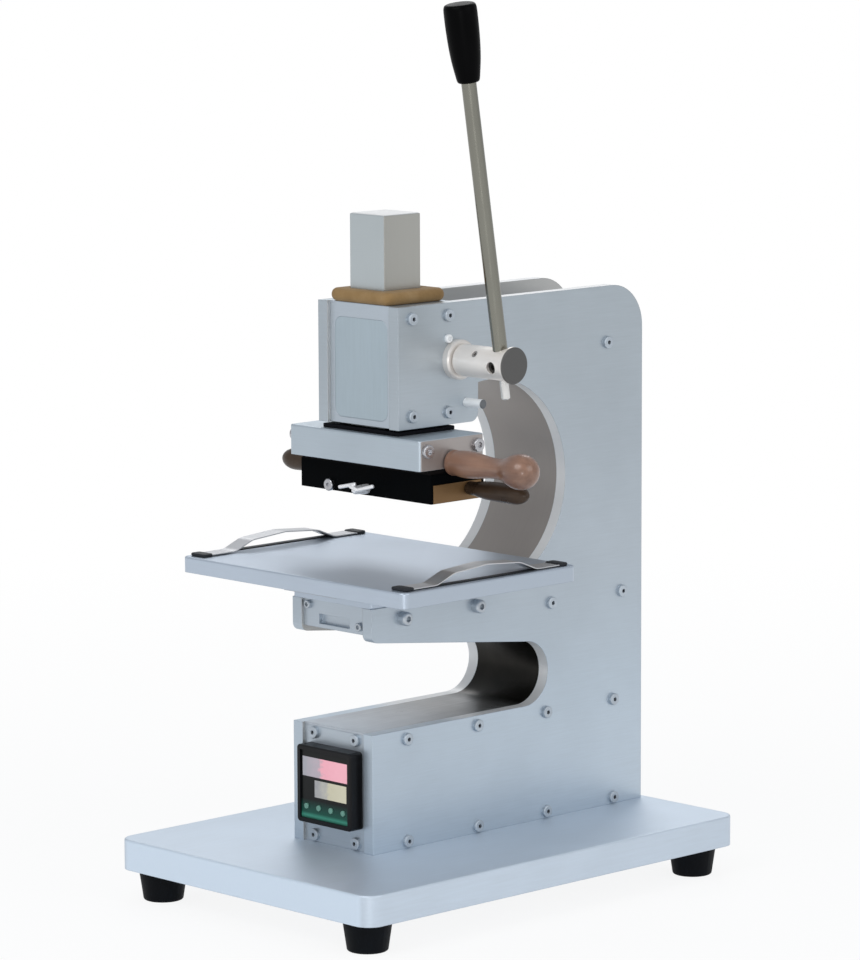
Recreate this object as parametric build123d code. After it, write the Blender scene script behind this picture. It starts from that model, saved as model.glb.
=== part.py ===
from build123d import *
import math
import os

# Hot foil stamping press: a C frame of two side plates on a base, a square ram driven
# by rack and pinion from a side lever, a heated head under the ram and a sliding table.
# Millimetres. X runs to the machine's right, where the lever is, Y to the back, Z up.
# Heights named *_Z are above the top of the base plate; up() turns them into heights
# above the bench. Everything is drawn about the frame's middle plane.

# Base and feet
BASE_WIDTH = 225.0
BASE_LENGTH = 318.0
BASE_THICKNESS = 19.0
BASE_CORNER_RADIUS = 11.0
BASE_EDGE_BREAK = 1.2
FOOT_HEIGHT = 19.0
FOOT_TOP_RADIUS = 15.0
FOOT_BOTTOM_RADIUS = 12.2
FOOT_INSET_X = 21.0
FOOT_INSET_Y = 19.0

# Frame side plates: one outline with three arms and two throats
PLATE_THICKNESS = 8.0
FRAME_WIDTH = 70.0
FRAME_HEIGHT = 330.0
FRAME_REAR_Y = 152.7
FRAME_TOP_REAR_RADIUS = 27.0
ARM_FRONT_Y = -82.0
ARM_EDGE_RADIUS = 5.0
LOWER_ARM_Z = 73.6
TABLE_ARM_Z = 150.5
TABLE_ARM_DEPTH = 20.5
HEAD_FRONT_Y = -59.0
HEAD_HEIGHT = 74.0
HEAD_NOSE_REAR_Y = 8.0
HEAD_NOSE_RADIUS = 6.0
THROAT_ABOVE_HEAD = 24.5
UPPER_THROAT_Y = 19.0
LOWER_THROAT_RADIUS = 20.4
LOWER_THROAT_Y = 48.0

# Sheet covers and bars between the side plates
SHEET_THICKNESS = 1.5
PANEL_THICKNESS = 4.0
ARM_PANEL_RECESS = 2.0
TOP_COVER_DROP = 12.0
REAR_COVER_INSET = 0.6
RAIL_WIDTH = 13.0
RAIL_HEIGHT = 9.0
BAR_HEIGHT = 8.0
FRONT_BAR_DEPTH = 28.0
REAR_BAR_DEPTH = 36.0
REAR_BAR_SCREW_SETBACK = 31.8
SPACER_RADIUS = 4.2
SPACER_DEPTH = 6.1
SPACER_REAR_SETBACK = 26.0
SPACER_PITCH_Y = 60.0
WAIST_SPACER_Y = 71.0
WAIST_SPACER_DROP = 14.5

# Screws: M4 button heads for the frame, M5 cap screws for the table block
SCREW_RADIUS = 2.0
SCREW_HEAD_RADIUS = 3.8
SCREW_HEAD_HEIGHT = 2.2
SCREW_LENGTH = 14.0
HEX_RECESS_RADIUS = 1.4
HEX_RECESS_DEPTH = 1.3
CAP_SCREW_RADIUS = 2.5
CAP_HEAD_RADIUS = 4.25
CAP_HEAD_HEIGHT = 5.0
CAP_SCREW_LENGTH = 18.0
CAP_HEX_RADIUS = 2.0
CAP_HEX_DEPTH = 2.5

# Fits and clearances
RUNNING_CLEARANCE = 0.05
SEAT_CLEARANCE = 0.02
SLIDE_CLEARANCE = 0.1
BODY_GAP = 0.4

# Ram, rack and pinion
RAM_SIZE = 29.8
RAM_Y = -36.0
RAM_ABOVE_FRAME = 53.6
RAM_EDGE_BREAK = 0.8
RAM_TRAVEL = 30.0
GEAR_MODULE = 2.0
PINION_TEETH = 16
PRESSURE_ANGLE = 20.0
TOOTH_BACKLASH = 0.16
PINION_WIDTH = 12.0
PINION_RISE = 39.2
RACK_WIDTH = 14.0
RACK_THICKNESS = 9.0
RACK_DEPTH_IN_RAM = 3.0
RACK_END_MARGIN = 8.0
SHAFT_RADIUS = 8.0
SHAFT_LEFT_OVERHANG = 5.0
KEY_WIDTH = 4.0
KEY_HEIGHT = 4.0
KEY_SHAFT_DEPTH = 2.5

# Guide block, pad and front panel of the head
GUIDE_BLOCK_REAR_Y = 6.0
GUIDE_FRONT_RECESS = 2.5
GUIDE_PIN_RADIUS = 2.8
GUIDE_PIN_REACH = 15.0
GUIDE_PIN_Y = -2.0
GUIDE_PIN_RISE = 12.3
GEAR_POCKET_CLEARANCE = 1.5
HEAD_PANEL_THICKNESS = 1.5
HEAD_PANEL_MARGIN_TOP = 9.0
HEAD_PANEL_MARGIN_SIDE = 4.0
HEAD_PANEL_CORNER_RADIUS = 6.0
WIPER_PAD_HEIGHT = 8.0
WIPER_PAD_REAR_Y = -9.0
WIPER_PAD_ROUND = 3.2

# Bushes, return spring and lever
BUSH_RADIUS = 10.4
BUSH_FLANGE_RADIUS = 12.2
BUSH_FLANGE_THICKNESS = 5.0
BUSH_SCREW_RADIUS = 1.5
BUSH_SCREW_HEAD_RADIUS = 2.6
BUSH_SCREW_TURN = 30.0
RING_RADIUS = 11.0
RING_THICKNESS = 1.2
SPRING_STRIP_THICKNESS = 0.6
SPRING_STRIP_WIDTH = 7.0
SPRING_INNER_RADIUS = 9.2
SPRING_TURN_PITCH = 1.9
SPRING_HALF_TURNS = 7
SPRING_SIDE_GAP = 1.5
HUB_RADIUS = 9.8
HUB_SHAFT_RADIUS = 6.5
HUB_CAP_RADIUS = 11.2
HUB_CAP_THICKNESS = 3.0
HUB_LENGTH = 44.0
HUB_EDGE_BREAK = 0.8
ROD_RADIUS = 4.5
ROD_TAIL_RADIUS = 2.7
ROD_STEP = 7.0
ROD_FROM_HUB_END = 10.8
ROD_TAIL = 21.6
LEVER_LEAN = 9.1
GRIP_START = 171.5
GRIP_LENGTH = 47.2
GRIP_RADIUS = 10.1
GRIP_NECK_RADIUS = 7.0
GRIP_BORE_DEPTH = 34.0
GRIP_SHOULDER = 12.0
GRIP_SWELL = 26.0
SET_SCREW_RADIUS = 3.6
SET_SCREW_LENGTH = 3.2

# Heated head: pressure plate, insulating board, heater block and die plate
PRESS_PLATE_WIDTH = 114.5
PRESS_PLATE_DEPTH = 54.0
PRESS_PLATE_THICKNESS = 18.5
PRESS_PLATE_GAP = 3.7
INSULATION_THICKNESS = 3.0
HEATER_FRONT_Y = -53.5
HEATER_REAR_Y = -9.5
HEATER_HEIGHT = 17.6
CARTRIDGE_RADIUS = 2.5
CARTRIDGE_LENGTH = 100.0
PROBE_RADIUS = 1.5
PROBE_LENGTH = 30.0
DIE_PLATE_HEIGHT = 11.2
DIE_PLATE_WIDTH = 34.0
DIE_TONGUE_HEIGHT = 3.5
DIE_TONGUE_STEP = 3.0
DIE_END_THICKNESS = 4.0
DIE_END_LIP = 1.6
DIE_SCREW_RADIUS = 2.0
DIE_SCREW_PITCH_X = 80.0
DIE_SCREW_PITCH_Y = 16.0
DIE_TRAVEL = 100.0

# Wooden handle on the pressure plate
HANDLE_DROP = 15.3
HANDLE_SWELL = 14.0
HANDLE_BASE_RADIUS = 8.0
HANDLE_WAIST_RADIUS = 6.0
HANDLE_BALL_RADIUS = 11.0
HANDLE_WAIST_X = 93.0
HANDLE_BALL_X = 115.7
HANDLE_STUD_DEPTH = 12.0

# Clamp knob on the left, pull knob of the die plate on the right, wing screw in front
KNOB_RISE = 11.4
KNOB_SPINDLE_RADIUS = 3.0
KNOB_NECK_LENGTH = 8.0
KNOB_LENGTH = 32.0
KNOB_NECK_RADIUS = 4.2
KNOB_RADIUS = 6.9
DIE_KNOB_Y = -22.0
DIE_KNOB_RISE = 1.4
DIE_KNOB_LENGTH = 43.0
DIE_KNOB_RADIUS = 6.2
DIE_KNOB_SPINDLE = 12.0
WING_X = 2.0
WING_SPAN = 34.0
WING_THICKNESS = 2.4
WING_HEIGHT = 4.6
WING_RISE = 4.2
WING_BOSS_RADIUS = 4.2
WING_BOSS_LENGTH = 13.0
WING_STEM_RADIUS = 2.5
LOCK_SCREW_X = -31.0
LOCK_SCREW_RISE = 3.4

# Table, its slide and the two sprung strips
TABLE_WIDTH = 197.0
TABLE_DEPTH = 145.0
TABLE_THICKNESS = 9.6
TABLE_FRONT_Y = -116.0
TABLE_CORNER_RADIUS = 5.0
TABLE_EDGE_BREAK = 1.0
TABLE_TRAVEL = 20.0
CARRIER_WIDTH = 69.2
CARRIER_THICKNESS = 7.0
CARRIER_REAR_Y = 16.0
SLIDE_HEIGHT = 4.7
SLIDE_BAR_WIDTH = 40.0
SLIDE_BAR_FLARE = 3.0
SLIDE_BAR_INSET = 16.0
GIB_WIDTH = 10.0
GIB_INSET = 6.0
SUPPORT_BLOCK_HEIGHT = 17.0
SUPPORT_BLOCK_REAR_Y = 14.0
BLOCK_BOLT_FRONT_INSET = 26.0
BLOCK_BOLT_REAR_INSET = 8.0
BLOCK_SCREW_X = 22.6
SUPPORT_RELIEF_DEPTH = 3.0
STRIP_WIDTH = 12.0
STRIP_THICKNESS = 0.6
STRIP_RISE = 7.7
STRIP_FOOT_LENGTH = 26.0
STRIP_RAMP_LENGTH = 14.0
STRIP_RAMP_RISE = 5.6
STRIP_BEND_RADIUS = 12.0
STRIP_EDGE_MARGIN = 3.5
STRIP_END_MARGIN = 5.0
STRIP_BOOT_LENGTH = 8.0
STRIP_BOOT_WALL = 0.7

# Temperature controller, relay and power inlet
CONTROLLER_SIZE = 48.0
CONTROLLER_BEZEL_DEPTH = 10.0
CONTROLLER_BODY_SIZE = 44.6
CONTROLLER_BODY_DEPTH = 76.0
CONTROLLER_DROP = 35.9
CONTROLLER_CORNER_RADIUS = 2.5
FACE_RECESS = 1.2
FACE_MARGIN = 3.0
DISPLAY_THICKNESS = 0.5
PV_WIDTH = 39.6
PV_HEIGHT = 12.0
PV_Z_OFFSET = 10.95
SV_WIDTH = 28.2
SV_HEIGHT = 10.5
SV_X_OFFSET = 4.9
SV_Z_OFFSET = -2.1
BUTTON_RADIUS = 1.8
BUTTON_HEIGHT = 1.6
BUTTON_STROKE = 0.6
BUTTON_PITCH = 10.8
BUTTON_ROW_DROP = 13.7
RELAY_WIDTH = 45.0
RELAY_LENGTH = 60.0
RELAY_HEIGHT = 23.0
RELAY_Y = 70.0
RELAY_Z = 40.0
INLET_WIDTH = 27.0
INLET_HEIGHT = 19.6
INLET_FLANGE_WIDTH = 48.0
INLET_FLANGE_HEIGHT = 22.4
INLET_FLANGE_THICKNESS = 2.5
INLET_DEPTH = 21.0
INLET_CAVITY_DEPTH = 16.0
INLET_WALL = 1.6
INLET_Z = 26.0
PIN_LENGTH = 11.0
SWITCH_WIDTH = 21.0
SWITCH_HEIGHT = 15.0
SWITCH_FRAME_LIP = 1.6
SWITCH_BODY_DEPTH = 16.0
SWITCH_Z = 52.0
SWITCH_TILT = 9.0
ROCKER_PIN_RADIUS = 0.8
ROCKER_PIN_REACH = 0.7
ROCKER_DEPTH = 2.4

# Values worked out from the sizes above
BASE_TOP = FOOT_HEIGHT + BASE_THICKNESS
HALF_FRAME = FRAME_WIDTH / 2
INNER = HALF_FRAME - PLATE_THICKNESS
RACK_PITCH_Y = RAM_Y + RAM_SIZE / 2 - RACK_DEPTH_IN_RAM - GEAR_MODULE
PITCH_RADIUS = GEAR_MODULE * PINION_TEETH / 2
PINION_Y = RACK_PITCH_Y + PITCH_RADIUS
HEAD_BOTTOM_Z = FRAME_HEIGHT - HEAD_HEIGHT
PINION_Z = HEAD_BOTTOM_Z + PINION_RISE
RAM_TOP_Z = FRAME_HEIGHT + RAM_ABOVE_FRAME
UPPER_THROAT_RADIUS = (HEAD_BOTTOM_Z + THROAT_ABOVE_HEAD - TABLE_ARM_Z) / 2
PINION_TIP_RADIUS = PITCH_RADIUS + GEAR_MODULE
UPPER_THROAT_Z = TABLE_ARM_Z + UPPER_THROAT_RADIUS
LOWER_THROAT_Z = LOWER_ARM_Z + LOWER_THROAT_RADIUS
PLATE_TOP_Z = HEAD_BOTTOM_Z - PRESS_PLATE_GAP
PLATE_BOTTOM_Z = PLATE_TOP_Z - PRESS_PLATE_THICKNESS
HEATER_TOP_Z = PLATE_BOTTOM_Z - INSULATION_THICKNESS
HEATER_BOTTOM_Z = HEATER_TOP_Z - HEATER_HEIGHT
DIE_TOP_Z = HEATER_BOTTOM_Z + DIE_PLATE_HEIGHT
HALF_HEAD = PRESS_PLATE_WIDTH / 2
HANDLE_Z = PLATE_TOP_Z - HANDLE_DROP
KNOB_Z = HEATER_BOTTOM_Z + KNOB_RISE
WAIST_SPACER_Z = TABLE_ARM_Z - WAIST_SPACER_DROP
CONTROLLER_Z = LOWER_ARM_Z - CONTROLLER_DROP
HEATER_Y = (HEATER_FRONT_Y + HEATER_REAR_Y) / 2
ARM_PANEL_Y = ARM_FRONT_Y + ARM_PANEL_RECESS
GUIDE_FRONT_Y = HEAD_FRONT_Y + GUIDE_FRONT_RECESS
COVER_OUTER_Y = FRAME_REAR_Y - REAR_COVER_INSET
COVER_BEND_RADIUS = FRAME_TOP_REAR_RADIUS - TOP_COVER_DROP
COVER_INNER_Y = COVER_OUTER_Y - SHEET_THICKNESS
BUSH_FACE_X = HALF_FRAME + BUSH_FLANGE_THICKNESS
HUB_START_X = BUSH_FACE_X + BODY_GAP
HUB_END_X = HUB_START_X + HUB_LENGTH
ROD_X = HUB_END_X - ROD_FROM_HUB_END
CARRIER_TOP_Z = TABLE_ARM_Z + CARRIER_THICKNESS
TABLE_BOTTOM_Z = CARRIER_TOP_Z + SLIDE_HEIGHT
TABLE_TOP_Z = TABLE_BOTTOM_Z + TABLE_THICKNESS
TABLE_REAR_Y = TABLE_FRONT_Y + TABLE_DEPTH
HANDLE_END_X = HANDLE_BALL_X + HANDLE_BALL_RADIUS
# The origin lies on the bench, under the middle of the whole outline
CENTRE_X = (HANDLE_END_X - BASE_WIDTH / 2) / 2


def up(height):
    """Height above the bench of a height above the base plate."""
    return BASE_TOP + height


def block(x_range, y_range, z_range):
    """Rectangular block between pairs of coordinates, Z above the base plate."""
    (x0, x1), (y0, y1), (z0, z1) = x_range, y_range, z_range
    middle = Pos((x0 + x1) / 2, (y0 + y1) / 2, up((z0 + z1) / 2))
    return middle * Box(x1 - x0, y1 - y0, z1 - z0)


def bar_x(radius, x0, x1, y, z):
    """Round bar along X."""
    return Pos((x0 + x1) / 2, y, up(z)) * Rot(0, 90, 0) * Cylinder(radius, x1 - x0)


def bar_y(radius, x, y0, y1, z):
    """Round bar along Y."""
    return Pos(x, (y0 + y1) / 2, up(z)) * Rot(90, 0, 0) * Cylinder(radius, y1 - y0)


def bar_z(radius, x, y, z0, z1):
    """Round bar along Z."""
    return Pos(x, y, up((z0 + z1) / 2)) * Cylinder(radius, z1 - z0)


def round_corner(sketch, u, v, radius):
    """Round the corner of a sketch that lies nearest to (u, v)."""
    corner = min(sketch.vertices(), key=lambda p: math.hypot(p.X - u, p.Y - v))
    return fillet(corner, radius)


def across(sketch, x0, x1):
    """Extrude a profile drawn in Y and height along X, from x0 to x1."""
    return Pos(x0, 0, BASE_TOP) * extrude(Plane.YZ * sketch, amount=x1 - x0)


def screw(head_radius, head_height, radius, length, hex_radius, hex_depth):
    """Socket screw along Z: head above the origin, shank below it."""
    body = Pos(0, 0, head_height / 2) * Cylinder(head_radius, head_height)
    body = fillet(body.edges().group_by(Axis.Z)[-1], head_height * 0.3)
    body += Pos(0, 0, -length / 2) * Cylinder(radius, length)
    socket = extrude(RegularPolygon(hex_radius, 6), amount=hex_depth)
    return body - Pos(0, 0, head_height - hex_depth) * socket


def button_screw():
    """M4 button head screw of the frame and covers."""
    return screw(SCREW_HEAD_RADIUS, SCREW_HEAD_HEIGHT, SCREW_RADIUS, SCREW_LENGTH,
                 HEX_RECESS_RADIUS, HEX_RECESS_DEPTH)


def cap_screw():
    """M5 cap head screw of the table block and the pressure plate."""
    return screw(CAP_HEAD_RADIUS, CAP_HEAD_HEIGHT, CAP_SCREW_RADIUS, CAP_SCREW_LENGTH,
                 CAP_HEX_RADIUS, CAP_HEX_DEPTH)


def facing(x, y, z, direction):
    """Place of a screw whose head points along one of +X, -X, +Y, -Y, +Z or -Z."""
    turns = {"+X": (0, 90, 0), "-X": (0, -90, 0), "+Y": (-90, 0, 0), "-Y": (90, 0, 0),
             "+Z": (0, 0, 0), "-Z": (180, 0, 0)}
    return Pos(x, y, up(z)) * Rot(*turns[direction])


# Places of the screws and spacers, in Y and height
def row_places():
    """Four screws under the lower arm's cover, rear to front."""
    rear_y = FRAME_REAR_Y - SPACER_REAR_SETBACK
    return [(rear_y - i * SPACER_PITCH_Y, LOWER_ARM_Z - SPACER_DEPTH) for i in range(4)]


def rear_bar_z():
    """Height of the cross bar behind the top of the rear cover."""
    return FRAME_HEIGHT - FRAME_TOP_REAR_RADIUS - SCREW_HEAD_RADIUS * 2.2


def bar_places():
    """Screws into the two cross bars: in the lower arm's front and at the rear top."""
    return [row_places()[-1], (FRAME_REAR_Y - REAR_BAR_SCREW_SETBACK, rear_bar_z())]


def spacer_places():
    """Round bars that join the two side plates, in the lower arm and in the waist."""
    rear_y = FRAME_REAR_Y - SPACER_REAR_SETBACK + SCREW_HEAD_RADIUS * 2
    return row_places()[:3] + [(rear_y, WAIST_SPACER_Z), (WAIST_SPACER_Y, WAIST_SPACER_Z)]


def rail_places():
    """Screws into the rails on the base."""
    return [(y, RAIL_HEIGHT / 2) for y, z in row_places()]


def side_places():
    """All the button screws of one side plate."""
    return spacer_places() + bar_places() + rail_places() + guide_places()


def guide_places():
    """Screws that hold the guide block between the side plates."""
    high = FRAME_HEIGHT - SCREW_HEAD_RADIUS * 2
    low = HEAD_BOTTOM_Z + SCREW_HEAD_RADIUS * 2
    front = HEAD_FRONT_Y + SCREW_HEAD_RADIUS * 3
    rear = RAM_Y + RAM_SIZE / 2 + SCREW_HEAD_RADIUS
    return [(front, high), (front, low), (rear, high), (rear, low)]


def block_bolt_places():
    """Cap screws through the arms into the table's support block."""
    middle = TABLE_ARM_Z - SUPPORT_BLOCK_HEIGHT / 2
    return [(ARM_FRONT_Y + BLOCK_BOLT_FRONT_INSET, middle),
            (SUPPORT_BLOCK_REAR_Y - BLOCK_BOLT_REAR_INSET, middle)]


def guide_pin_place():
    """Long pin in the guide block's lower rear corner, on the lever's side."""
    return (GUIDE_PIN_Y, HEAD_BOTTOM_Z + GUIDE_PIN_RISE)


def bush_screw_place():
    """Small screw that keeps the right bush from turning, beside its flange."""
    reach = BUSH_FLANGE_RADIUS + BUSH_SCREW_HEAD_RADIUS + BODY_GAP
    angle = math.radians(BUSH_SCREW_TURN)
    return (PINION_Y - reach * math.sin(angle), PINION_Z + reach * math.cos(angle))


def block_screw_places():
    """Small screws in the front of the table's support block, in X and height."""
    top = TABLE_ARM_Z - BUSH_SCREW_HEAD_RADIUS * 1.4
    low = TABLE_ARM_Z - SUPPORT_BLOCK_HEIGHT + BUSH_SCREW_HEAD_RADIUS * 1.8
    return [(-BLOCK_SCREW_X, top), (BLOCK_SCREW_X, low)]


def foot_places():
    """Centres of the four feet."""
    x = BASE_WIDTH / 2 - FOOT_INSET_X
    y = BASE_LENGTH / 2 - FOOT_INSET_Y
    return [(-x, -y), (x, -y), (-x, y), (x, y)]


def arm_panel_places():
    """Screws of the controller panel."""
    x = INNER - SCREW_HEAD_RADIUS * 2.3
    high = LOWER_ARM_Z - SHEET_THICKNESS - BAR_HEIGHT / 2
    low = RAIL_HEIGHT / 2
    return [(-x, high), (x, high), (-x, low), (x, low)]


def rear_cover_places():
    """Screws of the rear cover, near its corners."""
    x = INNER - RAIL_WIDTH / 2
    low = RAIL_HEIGHT / 2
    high = rear_bar_z()
    return [(-x, high), (x, high), (-x, low), (x, low)]


# Base, feet and frame
def base_plate():
    """Thick base with round corners, tapped from below for the feet."""
    outline = RectangleRounded(BASE_WIDTH, BASE_LENGTH, BASE_CORNER_RADIUS)
    plate = Pos(0, 0, FOOT_HEIGHT) * extrude(outline, amount=BASE_THICKNESS)
    plate = fillet(plate.edges().group_by(Axis.Z)[-1], BASE_EDGE_BREAK)
    for x, y in foot_places():
        plate -= bar_z(CAP_SCREW_RADIUS + SEAT_CLEARANCE, x, y, -BASE_THICKNESS,
                       -BASE_THICKNESS / 3)
    return plate


def rubber_feet():
    """Four tapered feet, each with a pocket for its screw."""
    foot = Pos(0, 0, FOOT_HEIGHT / 2) * Cone(FOOT_BOTTOM_RADIUS, FOOT_TOP_RADIUS, FOOT_HEIGHT)
    foot = fillet(foot.edges().group_by(Axis.Z)[0], FOOT_BOTTOM_RADIUS * 0.12)
    foot -= Pos(0, 0, FOOT_HEIGHT / 2) * Cylinder(CAP_SCREW_RADIUS + SEAT_CLEARANCE, FOOT_HEIGHT)
    pocket = CAP_HEAD_RADIUS + SEAT_CLEARANCE
    foot -= Pos(0, 0, FOOT_HEIGHT / 4) * Cylinder(pocket, FOOT_HEIGHT / 2)
    return Compound([Pos(x, y, 0) * foot for x, y in foot_places()])


def foot_screws():
    """Screws up through the feet into the base."""
    seat = FOOT_HEIGHT / 2 - BASE_TOP
    return Compound([facing(x, y, seat, "-Z") * cap_screw() for x, y in foot_places()])


def side_outline():
    """C shaped outline with the lower arm, the table arm and the head."""
    sketch = Polygon((ARM_FRONT_Y, 0), (FRAME_REAR_Y, 0), (FRAME_REAR_Y, FRAME_HEIGHT),
                     (ARM_FRONT_Y, FRAME_HEIGHT), align=None)
    behind = ARM_FRONT_Y - 1
    sketch -= Polygon((behind, TABLE_ARM_Z), (HEAD_FRONT_Y, TABLE_ARM_Z),
                      (HEAD_FRONT_Y, FRAME_HEIGHT), (behind, FRAME_HEIGHT), align=None)
    sketch -= Polygon((HEAD_FRONT_Y, TABLE_ARM_Z), (UPPER_THROAT_Y, TABLE_ARM_Z),
                      (UPPER_THROAT_Y, UPPER_THROAT_Z), (HEAD_NOSE_REAR_Y, HEAD_BOTTOM_Z),
                      (HEAD_FRONT_Y, HEAD_BOTTOM_Z), align=None)
    throat = Pos(UPPER_THROAT_Y, UPPER_THROAT_Z) * Circle(UPPER_THROAT_RADIUS)
    reach = UPPER_THROAT_RADIUS * 2
    side = Pos(HEAD_NOSE_REAR_Y + reach / 2, UPPER_THROAT_Z) * Rectangle(reach, reach)
    sketch -= throat & side
    arm_bottom = TABLE_ARM_Z - TABLE_ARM_DEPTH
    top = LOWER_ARM_Z + LOWER_THROAT_RADIUS * 2
    sketch -= Polygon((ARM_FRONT_Y, LOWER_ARM_Z), (LOWER_THROAT_Y, LOWER_ARM_Z),
                      (LOWER_THROAT_Y, top), (ARM_FRONT_Y, arm_bottom), align=None)
    sketch -= Pos(LOWER_THROAT_Y, LOWER_THROAT_Z) * Circle(LOWER_THROAT_RADIUS)
    sketch = round_corner(sketch, FRAME_REAR_Y, FRAME_HEIGHT, FRAME_TOP_REAR_RADIUS)
    sketch = round_corner(sketch, HEAD_NOSE_REAR_Y, HEAD_BOTTOM_Z, HEAD_NOSE_RADIUS)
    sketch = round_corner(sketch, ARM_FRONT_Y, arm_bottom, ARM_EDGE_RADIUS)
    return sketch


def side_plate(sign):
    """One side plate, bored for the bush and drilled for every screw."""
    x0, x1 = sorted((sign * INNER, sign * HALF_FRAME))
    plate = across(side_outline(), x0, x1)
    plate -= bar_x(BUSH_RADIUS + SEAT_CLEARANCE, x0, x1, PINION_Y, PINION_Z)
    for y, z in side_places():
        plate -= bar_x(SCREW_RADIUS + SEAT_CLEARANCE, x0, x1, y, z)
    for y, z in block_bolt_places():
        plate -= bar_x(CAP_SCREW_RADIUS + SEAT_CLEARANCE, x0, x1, y, z)
    if sign > 0:
        plate -= bar_x(GUIDE_PIN_RADIUS + SEAT_CLEARANCE, x0, x1, *guide_pin_place())
        plate -= bar_x(BUSH_SCREW_RADIUS + SEAT_CLEARANCE, x0, x1, *bush_screw_place())
    return plate


def base_rails():
    """Bars inside the side plates that stand on the base."""
    rails = []
    front = ARM_PANEL_Y + PANEL_THICKNESS
    ends = ((front, front + SCREW_LENGTH, arm_panel_places()),
            (COVER_INNER_Y - SCREW_LENGTH, COVER_INNER_Y, rear_cover_places()))
    for sign in (-1, 1):
        x_range = sorted((sign * INNER, sign * (INNER - RAIL_WIDTH)))
        rail = block(x_range, (front, COVER_INNER_Y), (0, RAIL_HEIGHT))
        for y, z in rail_places():
            rail -= bar_x(SCREW_RADIUS + SEAT_CLEARANCE, *x_range, y, z)
        for y0, y1, places in ends:
            for x, z in places:
                rail -= bar_y(SCREW_RADIUS + SEAT_CLEARANCE, x, y0, y1, z)
        rails.append(rail)
    return Compound(rails)


def cross_bars():
    """Two flat bars between the side plates that the covers are screwed to."""
    front = ARM_PANEL_Y + PANEL_THICKNESS
    top = LOWER_ARM_Z - SHEET_THICKNESS
    z = rear_bar_z()
    half = BAR_HEIGHT / 2
    bars = [block((-INNER, INNER), (front, front + FRONT_BAR_DEPTH), (top - BAR_HEIGHT, top)),
            block((-INNER, INNER), (COVER_INNER_Y - REAR_BAR_DEPTH, COVER_INNER_Y),
                  (z - half, z + half))]
    drilled = []
    for bar, (y, z) in zip(bars, bar_places()):
        for sign in (-1, 1):
            bar -= side_tapping(sign, SCREW_RADIUS, SCREW_LENGTH, y, z)
        for x, z in arm_panel_places():
            bar -= bar_y(SCREW_RADIUS + SEAT_CLEARANCE, x, front, front + SCREW_LENGTH, z)
        for x, z in rear_cover_places():
            bar -= bar_y(SCREW_RADIUS + SEAT_CLEARANCE, x, COVER_INNER_Y - SCREW_LENGTH,
                         COVER_INNER_Y, z)
        drilled.append(bar)
    return Compound(drilled)


def side_tapping(sign, radius, length, y, z):
    """Hole for a screw that comes through a side plate, with room at its end."""
    depth = length - PLATE_THICKNESS + 1
    x0, x1 = sorted((sign * INNER, sign * (INNER - depth)))
    return bar_x(radius + SEAT_CLEARANCE, x0, x1, y, z)


def frame_spacers():
    """Round bars between the side plates, tapped at both ends."""
    bars = []
    for y, z in spacer_places():
        bar = bar_x(SPACER_RADIUS, -INNER, INNER, y, z)
        for sign in (-1, 1):
            bar -= side_tapping(sign, SCREW_RADIUS, SCREW_LENGTH, y, z)
        bars.append(bar)
    return Compound(bars)


def frame_screws():
    """All the button screws of the frame: sides, panels and rear cover."""
    screws = []
    for sign, direction in ((-1, "-X"), (1, "+X")):
        for y, z in side_places():
            screws.append(facing(sign * HALF_FRAME, y, z, direction) * button_screw())
    for x, z in arm_panel_places():
        screws.append(facing(x, ARM_PANEL_Y, z, "-Y") * button_screw())
    for x, z in rear_cover_places():
        screws.append(facing(x, COVER_OUTER_Y, z, "+Y") * button_screw())
    return Compound(screws)


def small_screw():
    """M3 button head screw."""
    return screw(BUSH_SCREW_HEAD_RADIUS, SCREW_HEAD_HEIGHT, BUSH_SCREW_RADIUS, SCREW_LENGTH,
                 HEX_RECESS_RADIUS, HEX_RECESS_DEPTH)


def table_bolts():
    """Cap screws of the table block with its two small screws, the right bush's screw
    and the long pin of the guide block."""
    bolts = []
    for sign, direction in ((-1, "-X"), (1, "+X")):
        for y, z in block_bolt_places():
            bolts.append(facing(sign * HALF_FRAME, y, z, direction) * cap_screw())
    for x, z in block_screw_places():
        bolts.append(facing(x, ARM_PANEL_Y, z, "-Y") * small_screw())
    bolts.append(facing(HALF_FRAME, *bush_screw_place(), "+X") * small_screw())
    pin = bar_x(GUIDE_PIN_RADIUS, HALF_FRAME - SCREW_LENGTH, HALF_FRAME + GUIDE_PIN_REACH,
                *guide_pin_place())
    bolts.append(chamfer(pin.edges().filter_by(GeomType.CIRCLE), BASE_EDGE_BREAK / 2))
    return Compound(bolts)


# Covers
def arm_panel():
    """Panel in the front of the lower arm, with the controller's square hole."""
    panel = block((-INNER, INNER), (ARM_PANEL_Y, ARM_PANEL_Y + PANEL_THICKNESS),
                  (0, LOWER_ARM_Z - SHEET_THICKNESS))
    half = CONTROLLER_BODY_SIZE / 2 + SLIDE_CLEARANCE
    panel -= block((-half, half), (ARM_PANEL_Y, ARM_PANEL_Y + PANEL_THICKNESS),
                   (CONTROLLER_Z - half, CONTROLLER_Z + half))
    for x, z in arm_panel_places():
        panel -= bar_y(SCREW_RADIUS + SEAT_CLEARANCE, x, ARM_PANEL_Y,
                       ARM_PANEL_Y + PANEL_THICKNESS, z)
    return panel


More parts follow.
